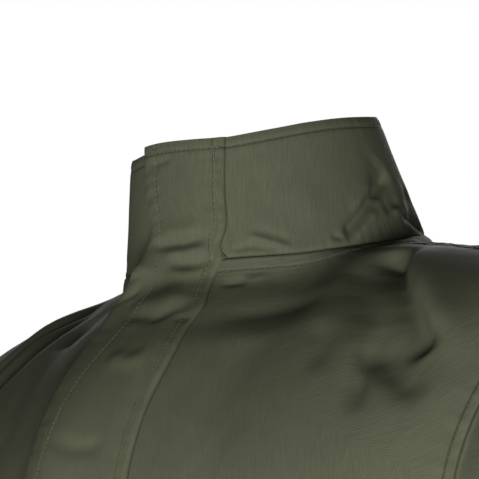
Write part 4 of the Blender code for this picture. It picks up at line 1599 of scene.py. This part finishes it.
@dataclass
class TrunkPanel:
    """A front, or half of the back: folded, creased and sewn."""

    room: Workroom
    pattern: PanelPattern
    flipped: bool
    creases: tuple[Crease, ...]
    wave_shift: float
    neck_inset: float = 0.0065
    seam_inset: float = 0.0060
    hem_inset: float = 0.0200
    neck_hold: float = 0.012
    neck_points: int = 40
    lumps: Lumps = ((0.00045, 0.060), (0.00016, 0.019))

    def cut(self) -> ClothSheet:
        """Cut the panel and raise its folds and creases, held flat at the neck seam."""
        points = self.pattern.points()
        points = mirrored(points) if self.flipped else points
        if self.pattern.side is Side.BACK:
            points = points[:, ::-1]
        sheet = ClothSheet(points, self.wave_shift)
        neck = self.lines(sheet).neck
        if self.pattern.side is Side.FRONT:
            sheet.lift(self.room.form.neck_hollow(sheet.points))
        neck = resample(neck, np.linspace(0.0, run_along(neck)[-1], self.neck_points))
        held = ease(near_line(points, neck)[0] / self.neck_hold)
        sheet.raise_folds(self.room.form, ("front", "back", "sleeve"), held=held)
        sheet.raise_seen_creases(self.creases)
        sheet.roughen(self.lumps)
        return sheet

    def lines(self, sheet: ClothSheet) -> PanelLines:
        """The panel's border lines."""
        from_side = self.flipped != (self.pattern.side is Side.BACK)
        return self.pattern.lines(sheet.points, from_side)

    def sew(self, sheet: ClothSheet) -> None:
        """Roll in and pucker the panel along its seams."""
        lines = self.lines(sheet)
        centre = [] if self.pattern.side is Side.BACK else [SeamLine(lines.edge, free=0.0013)]
        sheet.sew(
            centre
            + [
                SeamLine(lines.neck, dip=0.0004, pucker=0.00024, reach=0.014, wave=0.0054,
                         inset=self.neck_inset, welt=0.0008),
                SeamLine(lines.side, pucker=0.0004, wave=0.0120, reach=0.014),
                SeamLine(lines.armhole, pucker=0.0004, wave=0.0095, reach=0.012,
                         inset=self.seam_inset, welt=0.0007),
                SeamLine(lines.shoulder, pucker=0.00028, inset=self.seam_inset, welt=0.0005),
                SeamLine(lines.hem, dip=0.0007, pucker=0.00045, wave=0.0150, reach=0.024,
                         inset=self.hem_inset, free=0.0013),
            ]
        )


@dataclass
class Fronts:
    """The two fronts."""

    room: Workroom
    thickness: float = 0.0013

    def __post_init__(self) -> None:
        """Set out both panels."""
        form = self.room.form
        self.left = TrunkPanel(
            self.room,
            PanelPattern(form, Side.FRONT, form.left_front_edge),
            flipped=False,
            creases=FRONT_CREASES,
            wave_shift=0.4,
        )
        self.right = TrunkPanel(
            self.room,
            PanelPattern(form, Side.FRONT, -form.right_front_edge, columns=118),
            flipped=True,
            creases=FRONT_CREASES,
            wave_shift=2.9,
        )

    def build(self) -> dict[str, ClothSheet]:
        """Make both fronts.

        Returns:
            Their finished sheets.
        """
        sheets = {}
        for name, panel in (("front_left", self.left), ("front_right", self.right)):
            sheet = panel.cut()
            panel.sew(sheet)
            self.room.hang(ClothMaker(self.thickness), name, "body_cloth", [sheet])
            sheets[name] = sheet
        return sheets

    def stitch(self, sheets: dict[str, ClothSheet], flap_seam: float, flap_edge: float) -> None:
        """Topstitch the neck, armholes, shoulders and hem.

        Args:
            sheets: The finished fronts.
            flap_seam: How far across the flap covers the left front at the neck.
            flap_edge: How far across the flap covers the right front at the neck.
        """
        rows = []
        for panel, sheet in ((self.left, sheets["front_left"]), (self.right, sheets["front_right"])):
            lines = panel.lines(sheet)
            neck, hem = (
                line[line[:, 0] > flap_seam] if panel is self.left else line[line[:, 0] < flap_edge]
                for line in (lines.neck, lines.hem)
            )
            for line, inset in (
                (neck, panel.neck_inset),
                (lines.armhole, panel.seam_inset),
                (lines.shoulder, panel.seam_inset),
                (hem, panel.hem_inset),
            ):
                rows.append((sheet, self.room.stitching.path(sheet, line, inset)))
        self.room.sew_on("fronts_topstitching", "body_cloth", "thread", rows)


@dataclass
class Back:
    """The back, one piece with its two halves joined down the middle."""

    room: Workroom
    thickness: float = 0.0013

    def __post_init__(self) -> None:
        """Set out both halves."""
        pattern = PanelPattern(
            self.room.form, Side.BACK, 0.0, skirt_rows=74, chest_rows=66, yoke_rows=46, columns=98
        )
        self.halves = [
            TrunkPanel(self.room, pattern, flipped, BACK_CREASES, 1.3) for flipped in (False, True)
        ]

    def build(self) -> list[ClothSheet]:
        """Make the back.

        Returns:
            The finished sheets of its wearer's left and right halves.
        """
        sheets = [half.cut() for half in self.halves]
        for half, sheet in zip(self.halves, sheets):
            half.sew(sheet)
        row = self.halves[0].pattern.yoke_start + 1
        middle = (sheets[0].points[:row, -1] + sheets[1].points[:row, 0]) / 2.0
        sheets[0].points[:row, -1] = middle
        sheets[1].points[:row, 0] = middle
        self.room.hang(ClothMaker(self.thickness), "back", "body_cloth", sheets)
        return sheets

    def stitch(self, sheets: list[ClothSheet]) -> None:
        """Topstitch the neck, armholes and hem."""
        rows = []
        for half, sheet in zip(self.halves, sheets):
            lines = half.lines(sheet)
            for line, inset in (
                (lines.neck, half.neck_inset),
                (lines.armhole, half.seam_inset),
                (lines.hem, half.hem_inset),
            ):
                rows.append((sheet, self.room.stitching.path(sheet, line, inset)))
        self.room.sew_on("back_topstitching", "body_cloth", "thread", rows)


@dataclass
class Sleeves:
    """The two sleeves, each a tube set into its armhole."""

    room: Workroom
    rings: int = 116
    thickness: float = 0.0013
    joint: float = 0.018
    cuff_inset: float = 0.0200
    fine_starts: tuple[float, ...] = (0.0, 0.0010, 0.0030, 0.0060)
    lumps: Lumps = ((0.00045, 0.055), (0.00016, 0.018))

    def build(self, name: str, front: np.ndarray, back: np.ndarray, flipped: bool) -> None:
        """Make one sleeve.

        Args:
            name: The solid that it stands for.
            front: The front's finished armhole, from the underarm to the shoulder.
            back: The back's finished armhole, likewise.
            flipped: True for the wearer's right.
        """
        ring = self._armhole_ring(front, back, flipped)
        sheet = ClothSheet(self._tube(ring), wave_shift=4.1 if flipped else 3.3)
        sheet.raise_folds(self.room.form, ("sleeve",))
        sheet.raise_placed_creases(SLEEVE_CREASES, self._place(0.012 if flipped else 0.0))
        sheet.roughen(self.lumps)
        self._sew(sheet)
        self._join(sheet, ring)
        if flipped:
            sheet.points = mirrored(sheet.points)
            sheet.seam_distance = sheet.seam_distance[:, ::-1]
            sheet.stitch_distance = sheet.stitch_distance[:, ::-1]
        self.room.hang(ClothMaker(self.thickness), name, "body_cloth", [sheet])
        cuff = self.room.stitching.path(sheet, sheet.points[-1], self.cuff_inset)
        self.room.sew_on(name + "_topstitching", "body_cloth", "thread", [(sheet, cuff)])

    def _armhole_ring(self, front: np.ndarray, back: np.ndarray, flipped: bool) -> np.ndarray:
        """Every second point round the armhole, as it is on the wearer's left."""
        if flipped:
            front, back = front * TO_RIGHT, back * TO_RIGHT
        backwards = resample(back, np.linspace(0.0, run_along(back)[-1], len(front)))[::-1]
        return np.concatenate([front[:-1:2], front[-1:], backwards[2:-1:2], front[:1]])

    def _tube(self, ring: np.ndarray) -> np.ndarray:
        """Rings of points from the armhole to the cuff."""
        form = self.room.form
        along = run_along(ring)
        top = int(np.argmax(ring[:, 2]))
        rise = along[: top + 1] / along[top]
        descent = (along[top:] - along[top]) / (along[-1] - along[top])
        turn = np.concatenate([np.pi * (1.0 - rise), -np.pi * descent[1:]])
        even = np.linspace(0.0, 1.0, self.rings)[1:-1]
        starts = np.array(self.fine_starts)
        stations = np.concatenate([starts, even, 1.0 - starts[2::-1]])
        first = form.oval(0.0, turn)
        rows = []
        for station in stations:
            kept = 1.0 - float(ease(station / form.armhole_reach))
            rows.append(form.oval(station, turn) + (ring - first) * kept)
        return np.array(rows)

    def _place(self, shift: float) -> PlaceFinder:
        """How a crease's place is found, shifted so that the two sleeves differ."""
        form = self.room.form

        def find(angle: float, share: float) -> np.ndarray:
            """Point of the oval ring at an angle and a share of the length."""
            return form.oval(min(share + shift, 1.0), np.radians(angle * (1.0 - 4.0 * shift)))

        return find

    def _sew(self, sheet: ClothSheet) -> None:
        """Ease the sleeve's head into the armhole, and finish its seam and cuff."""
        sheet.sew(
            [
                SeamLine(sheet.points[0], pucker=0.0006, wave=0.0110, reach=0.016),
                SeamLine(sheet.points[:, 0], pucker=0.0005, wave=0.0120, reach=0.014),
                SeamLine(sheet.points[-1], dip=0.0007, pucker=0.0005, wave=0.0140,
                         reach=0.024, inset=self.cuff_inset, free=0.0013),
            ]
        )

    def _join(self, sheet: ClothSheet, ring: np.ndarray) -> None:
        """Bring the sleeve's head to the armhole and close the tube under the arm."""
        run = np.cumsum(np.linalg.norm(np.diff(sheet.points, axis=0), axis=2), axis=0)
        run = np.concatenate([np.zeros((1, run.shape[1])), run])
        kept = 1.0 - ease(run / self.joint)
        sheet.points = sheet.points + (ring - sheet.points[0]) * kept[..., None]
        sheet.points[:, [0, -1]] = (sheet.points[:, :1] + sheet.points[:, -1:]) / 2.0


@dataclass
class Collar:
    """Two-ply stand-up collar, from one front edge round to the other."""

    room: Workroom
    columns: int = 476
    rows: int = 64
    thickness: float = 0.0022
    seam_gap: float = 0.0003
    top_inset: float = 0.0058
    drop_margin: float = 6.0
    fine_steps: tuple[float, ...] = (0.0, 0.008, 0.026, 0.050)
    lumps: Lumps = ((0.00032, 0.050), (0.00010, 0.014))

    def build(self) -> ClothSheet:
        """Make the collar.

        Returns:
            Its finished sheet.
        """
        sheet = ClothSheet(self.points(), wave_shift=5.2)
        sheet.raise_folds(self.room.form, ("collar",))
        sheet.raise_placed_creases(COLLAR_CREASES, self._find)
        sheet.roughen(self.lumps)
        sheet.sew(
            [
                SeamLine(sheet.points[0], dip=0.0004, pucker=0.00026, wave=0.0060, reach=0.009),
                SeamLine(sheet.points[-1], dip=0.0006, pucker=0.00012, wave=0.0070,
                         reach=0.010, inset=self.top_inset, free=0.0013),
                SeamLine(sheet.points[:, 0], dip=0.0004, pucker=0.0, free=0.0013),
                SeamLine(sheet.points[:, -1], dip=0.0004, pucker=0.0, free=0.0013),
            ]
        )
        maker = ClothMaker(self.thickness, edge_round=0.0009, segments=3)
        self.room.hang(maker, "collar", "collar_cloth", [sheet])
        return sheet

    def points(self) -> np.ndarray:
        """Rows of points from the neck seam up, each from the left edge to the right."""
        form = self.room.form
        rows = []
        for up in spaced(1.0, self.rows, self.fine_steps):
            start = form.collar_angle(form.left_front_edge, up)
            finish = 360.0 + form.collar_angle(form.right_front_edge, up)
            angle = np.linspace(start, finish, self.columns + 1)
            row = form.collar_point(angle, np.full_like(angle, up))
            row[:, 2] += self.seam_gap * (1.0 - up)
            begun = ease((angle - form.drop_start) / (form.drop_full - form.drop_start))
            ended = ease((finish - self.drop_margin - angle) / form.drop_end)
            row[:, 2] -= form.collar_drop * up * begun * ended
            rows.append(row)
        return np.array(rows)

    def stitch(self, sheet: ClothSheet, flap_seam: float, flap_edge: float) -> None:
        """Topstitch the collar's top edge.

        Args:
            sheet: The finished collar.
            flap_seam: How far across the flap covers its left end.
            flap_edge: How far across the flap covers its right end.
        """
        top = sheet.points[-1]
        in_front = top[:, 1] < -self.room.form.collar_top_half_depth / 2.0
        covered = in_front & (top[:, 0] > flap_edge) & (top[:, 0] < flap_seam)
        line = self.room.stitching.path(sheet, top[~covered], self.top_inset)
        self.room.sew_on("collar_topstitching", "collar_cloth", "thread", [(sheet, line)])

    def _find(self, angle: float, share: float) -> np.ndarray:
        """Point of the collar at an angle and a share of its height."""
        return self.room.form.collar_point(np.array(angle), np.array(share))


@dataclass
class Flap:
    """Two-ply flap over the front opening, sewn down along its left side.

    The flap lies `lift` over the fronts, and its stiff cloth bridges the hollow at the
    neck seam. Its free edge curls up most at `curl_height`.
    """

    room: Workroom
    skirt_rows: int = 96
    chest_rows: int = 120
    collar_rows: int = 58
    columns: int = 54
    thickness: float = 0.0018
    lift: float = 0.0026
    seam_gap: float = 0.0003
    ease_width: float = 0.018
    bridge: float = 0.0140
    bridge_reach: float = 0.042
    bridge_width: float = 0.024
    curl: float = 0.0110
    curl_width: float = 0.012
    curl_height: float = -0.022
    curl_reach: float = 0.018
    seam_inset: float = 0.0066
    top_inset: float = 0.0056
    hem_inset: float = 0.0200
    slack: float = 0.0006
    slack_wave: float = 0.060
    crowding: float = 1.25
    draw_start: float = -0.10
    neck_hold: float = 0.012
    fine_steps: tuple[float, ...] = (0.0, 0.012, 0.032, 0.060)
    lumps: Lumps = ((0.00030, 0.045), (0.00010, 0.012))

    def base(self) -> np.ndarray:
        """Face under the flap: rows from the hem up, each from free edge to seam."""
        form = self.room.form
        corner = form.neck_corner(0.0, Side.FRONT)[1]
        skirt = np.linspace(-form.body_length, form.underarm_height, self.skirt_rows,
                            endpoint=False)
        rise = 1.0 - (1.0 - np.linspace(0.0, 1.0, self.chest_rows + 1)) ** self.crowding
        chest = form.underarm_height + (corner - form.underarm_height) * rise
        shares = spaced(1.0, self.columns, self.fine_steps)
        rows = []
        for height in np.concatenate([skirt, chest]):
            ends = self._ends(height)
            across = ends[0] + (ends[1] - ends[0]) * shares
            angle = np.degrees(np.arcsin(across / form.neck_half_width))
            tops = form.neck_on_form(angle)[1]
            near = ease((height - self.draw_start) / (corner - self.draw_start))
            rows.append(form.face(across, height + (tops - corner) * near, Side.FRONT))
        body = ClothSheet(np.array(rows))
        neck_height = float(form.neck_point(np.array(0.0))[2])
        held = ease((neck_height - body.points[..., 2]) / self.neck_hold)
        body.lift(form.neck_hollow(body.points))
        body.raise_folds(form, ("front",), held=held)
        stand = []
        for up in np.linspace(0.0, 1.0, self.collar_rows + 1)[1:]:
            height = form.collar_foot + (form.collar_head - form.collar_foot) * up
            ends = self._ends(height)
            across = ends[0] + (ends[1] - ends[0]) * shares
            angle = form.collar_angle(across, up)
            stand.append(form.collar_point(angle, np.full_like(angle, up)))
        return np.concatenate([body.points, np.array(stand)], axis=0)

    def build(self) -> ClothSheet:
        """Make the flap.

        Returns:
            Its finished sheet.
        """
        base = self._bridged(self.base())
        normals = grid_normals(base)
        from_seam = np.linalg.norm(base[:, -1:] - base, axis=-1)
        from_free = np.linalg.norm(base[:, :1] - base, axis=-1)
        lift = self.seam_gap + (self.lift - self.seam_gap) * ease(from_seam / self.ease_width)
        height = base[..., 2]
        curled = np.exp(-(((height - self.curl_height) / self.curl_reach) ** 2))
        slack = self.slack * (1.0 + ripple(-height, self.slack_wave, 1.1))
        lift += (self.curl * curled + slack) * np.exp(-((from_free / self.curl_width) ** 2))
        sheet = ClothSheet(base + normals * (lift + self.thickness)[..., None], wave_shift=6.0)
        sheet.raise_seen_creases(FLAP_CREASES)
        sheet.roughen(self.lumps)
        sheet.sew(
            [
                SeamLine(sheet.points[:, 0], dip=0.0005, pucker=0.00030, wave=0.0070,
                         reach=0.011, free=0.0013),
                SeamLine(self._margin(sheet), dip=0.0, pucker=0.0, inset=0.1 * MM, sunk=0.4,
                         free=1.0),
                SeamLine(sheet.points[:, -1], dip=0.0016, pucker=0.00028, wave=0.0080,
                         reach=0.010, inset=self.seam_inset, sunk=0.25),
                SeamLine(sheet.points[-1], dip=0.0004, pucker=0.00010, inset=self.top_inset,
                         free=0.0013),
                SeamLine(sheet.points[0], dip=0.0004, pucker=0.00020, inset=self.hem_inset,
                         free=0.0013),
            ]
        )
        maker = ClothMaker(self.thickness, edge_round=0.0007, segments=3)
        self.room.hang(maker, "storm_flap", "flap_cloth", [sheet])
        return sheet

    def stitch(self, sheet: ClothSheet) -> None:
        """Topstitch the flap's free edge, its seam and its top."""
        path = self.room.stitching.path
        rows = [
            (sheet, self._margin(sheet)),
            (sheet, path(sheet, sheet.points[:, -1], self.seam_inset)),
            (sheet, path(sheet, sheet.points[-1, 3:-3], self.top_inset)),
        ]
        self.room.sew_on("flap_topstitching", "flap_cloth", "flap_thread", rows)

    def _margin(self, sheet: ClothSheet) -> np.ndarray:
        """Line of the free edge's topstitching, each point some way along its own row."""
        insets = read_table(FLAP, "height", "margin", sheet.points[:, 0, 2])
        return np.array([resample(row, [inset])[0] for row, inset in zip(sheet.points, insets)])

    def _ends(self, height: float) -> tuple[float, float]:
        """How far across the free edge and the seam lie at a height."""
        return (
            float(read_table(FLAP, "height", "free_edge", height)),
            float(read_table(FLAP, "height", "seam", height)),
        )

    def _bridged(self, base: np.ndarray) -> np.ndarray:
        """The base with the hollow at the neck seam bridged, as stiff cloth does."""
        runs = np.cumsum(np.linalg.norm(np.diff(base.mean(axis=1), axis=0), axis=1))
        runs = np.concatenate([[0.0], runs])
        neck = runs[len(base) - 1 - self.collar_rows]
        spread = np.exp(-(((runs[:, None] - runs[None]) / self.bridge) ** 2))
        spread *= np.gradient(runs)[None]
        spread /= spread.sum(axis=1, keepdims=True)
        smoothed = np.einsum("ij,jkl->ikl", spread, base)
        kept = ease(1.0 - np.abs(runs - neck) / self.bridge_reach)[:, None]
        kept = kept * ease(np.linalg.norm(base[:, -1:] - base, axis=-1) / self.bridge_width)
        return base + (smoothed - base) * kept[..., None]


@dataclass
class Closure:
    """Touch-fastening strips that hold the flap shut.

    The front's strips run from `foot` to `head`, and the collar's over the shares
    `collar_span` of its height. All of them take the shares `across` of the lap.
    """

    room: Workroom
    base: np.ndarray
    collar_rows: int
    thickness: float = 0.0008
    loop_lift: float = 0.0003
    hook_lift: float = 0.0015
    across: tuple[float, float] = (0.18, 0.82)
    foot: float = -0.6607
    head: float = -0.0664
    collar_span: tuple[float, float] = (0.4, 0.8)
    columns: int = 13
    stitch_inset: float = 0.0018

    def build(self) -> None:
        """Make the four strips: a hook and a loop on the front, and on the collar."""
        neck = len(self.base) - 1 - self.collar_rows
        heights = self.base[:neck, 0, 2]
        low, high = (int(np.argmin(np.abs(heights - end))) for end in (self.foot, self.head))
        foot, head = (neck + int(share * self.collar_rows) for share in self.collar_span)
        for place, rows in (("front", slice(low, high + 1)), ("collar", slice(foot, head + 1))):
            for kind, lift in (("loop", self.loop_lift), ("hook", self.hook_lift)):
                self._strip(f"closure_{kind}_{place}", rows, lift)

    def _strip(self, node: str, rows: slice, lift: float) -> None:
        """One strip of tape.

        Args:
            node: The solid that it stands for.
            rows: The base's rows that it lies over.
            lift: Its height over the base.
        """
        base = self.base[rows]
        edge = self.room.form.right_front_edge
        steps = np.linspace(*self.across, self.columns)
        points = []
        for row in base:
            across = row[0, 0] + (edge - row[0, 0]) * steps
            points.append(np.stack([np.interp(across, row[:, 0], row[:, i]) for i in range(3)], 1))
        points = np.array(points)
        normals = grid_normals(points)
        sheet = ClothSheet(points + normals * (lift + self.thickness))
        sheet.sew([
            SeamLine(sheet.points[:, column], dip=0.0, pucker=0.0, inset=self.stitch_inset)
            for column in (0, -1)
        ])
        maker = ClothMaker(self.thickness, edge_round=0.0002)
        self.room.hang(maker, node, "closure_tape", [sheet])


@dataclass(frozen=True)
class SoftLight:
    """Large soft lamp, placed by its angle round the jacket and its height angle."""

    name: str
    azimuth: float
    elevation: float
    distance: float
    size: float
    power: float
    colour: str = "#FFFFFF"

    def build(self) -> None:
        """Put the lamp up, facing the jacket's collar."""
        away = bearing(math.radians(self.azimuth), math.radians(self.elevation))
        lamp = bpy.data.lights.new(self.name, "AREA")
        lamp.shape = "DISK"
        lamp.size = self.size
        lamp.energy = self.power
        lamp.color = linear(self.colour)[:3]
        holder = place_object(self.name, lamp)
        holder.rotation_euler = away.to_track_quat("Z", "Y").to_euler()
        holder.location = away * self.distance


@dataclass(frozen=True)
class Studio:
    """Pale floor, soft lamps and the camera.

    The camera's numbers come from the photograph: its angles in degrees, how large a
    metre shows at the place it aims at, and where in the square frame that place lies.
    """

    floor_height: float = -1.4500
    floor_size: float = 9.0
    ambient: float = 0.050
    azimuth: float = 43.39
    elevation: float = -10.30
    roll: float = -0.388
    aim: tuple[float, float, float] = (0.0, 0.0, 0.0043)
    distance: float = 1.747
    pixels_per_metre: float = 1817.7
    centre: tuple[float, float] = (275.92, 254.00)
    frame: int = 479
    sensor: float = 36.0
    lamps: tuple[SoftLight, ...] = (
        SoftLight("key_lamp", azimuth=39.0, elevation=-26.5, distance=2.0, size=0.8, power=38.0),
        SoftLight("back_lamp", azimuth=218.0, elevation=24.0, distance=2.8, size=1.8, power=62.0),
    )

    def build(self) -> None:
        """Set up the floor, the light and the camera, with colours as a camera shows them."""
        bpy.context.scene.view_settings.view_transform = "Standard"
        self._floor()
        self._surroundings()
        for lamp in self.lamps:
            lamp.build()
        self._camera()

    def _floor(self) -> None:
        """Plain floor under the jacket."""
        bm = bmesh.new()
        bmesh.ops.create_grid(bm, x_segments=1, y_segments=1, size=self.floor_size / 2.0)
        bmesh.ops.translate(bm, verts=bm.verts[:], vec=(0.0, 0.0, self.floor_height))
        mesh = bpy.data.meshes.new("floor")
        bm.to_mesh(mesh)
        bm.free()
        mesh.materials.append(FloorFinish().build())
        place_object("floor", mesh)

    def _surroundings(self) -> None:
        """White backdrop that lights the jacket only softly."""
        world = bpy.data.worlds.new("studio")
        bpy.context.scene.world = world
        world.use_nodes = True
        tree = world.node_tree
        background = tree.nodes["Background"]
        background.inputs["Color"].default_value = (1.0, 1.0, 1.0, 1.0)
        seen = add_node(tree, "ShaderNodeLightPath", {}).outputs["Is Camera Ray"]
        strength = add_range(tree, seen, (0.0, 1.0), (self.ambient, 1.0))
        tree.links.new(strength, background.inputs["Strength"])

    def _camera(self) -> None:
        """Camera at the photograph's viewing angle."""
        a, e, r = (math.radians(v) for v in (self.azimuth, self.elevation, self.roll))
        away = bearing(a, e)
        level = Vector((math.cos(a), math.sin(a), 0.0))
        above = away.cross(level)
        right = level * math.cos(r) + above * math.sin(r)
        up = above * math.cos(r) - level * math.sin(r)
        lens = bpy.data.cameras.new("camera")
        lens.sensor_width = self.sensor
        lens.lens = self.pixels_per_metre * self.distance * self.sensor / self.frame
        lens.shift_x = (self.frame / 2.0 - self.centre[0]) / self.frame
        lens.shift_y = (self.centre[1] - self.frame / 2.0) / self.frame
        lens.clip_start = 0.01
        camera = place_object("camera", lens)
        camera.matrix_world = Matrix(
            [[right[i], up[i], away[i], self.aim[i] + away[i] * self.distance] for i in range(3)]
            + [[0.0, 0.0, 0.0, 1.0]]
        )
        bpy.context.scene.camera = camera


def build_finishes() -> dict[str, Material]:
    """The jacket's finishes, by material slot, and its two threads."""
    return {
        "body_cloth": ClothFinish("olive_cotton_twill", "#595C48").build(),
        "collar_cloth": ClothFinish(
            "olive_cotton_twill_collar", "#595C48", rib_height=0.09
        ).build(),
        "flap_cloth": ClothFinish("olive_cotton_twill_flap", "#575A46", rib_height=0.09).build(),
        "closure_tape": ClothFinish(
            "woven_fastening_tape", "#3B3D30", rib=0.9, sheen=0.1
        ).build(),
        "thread": ThreadFinish("olive_sewing_thread", "#4C4E3A").build(),
        "flap_thread": ThreadFinish("pale_olive_sewing_thread", "#6E7059").build(),
    }


def main() -> None:
    """Build the jacket and its studio."""
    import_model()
    room = Workroom(JacketForm(), build_finishes(), Topstitching())
    fronts = Fronts(room)
    front_sheets = fronts.build()
    back = Back(room)
    back_sheets = back.build()
    sleeves = Sleeves(room)
    left_armholes = (fronts.left.lines(front_sheets["front_left"]).armhole,
                     back.halves[0].lines(back_sheets[0]).armhole)
    right_armholes = (fronts.right.lines(front_sheets["front_right"]).armhole,
                      back.halves[1].lines(back_sheets[1]).armhole)
    sleeves.build("sleeve_left", *left_armholes, flipped=False)
    sleeves.build("sleeve_right", *right_armholes, flipped=True)
    collar = Collar(room)
    collar_sheet = collar.build()
    flap = Flap(room)
    flap_sheet = flap.build()
    Closure(room, flap.base(), flap.collar_rows).build()
    seam, free_edge = FLAP[-1].seam, FLAP[-1].free_edge
    fronts.stitch(front_sheets, seam, free_edge)
    back.stitch(back_sheets)
    collar.stitch(collar_sheet, seam, free_edge)
    flap.stitch(flap_sheet)
    Studio().build()


if __name__ == "__main__":
    logging.basicConfig(level=logging.INFO, format="%(name)s: %(message)s")
    main()
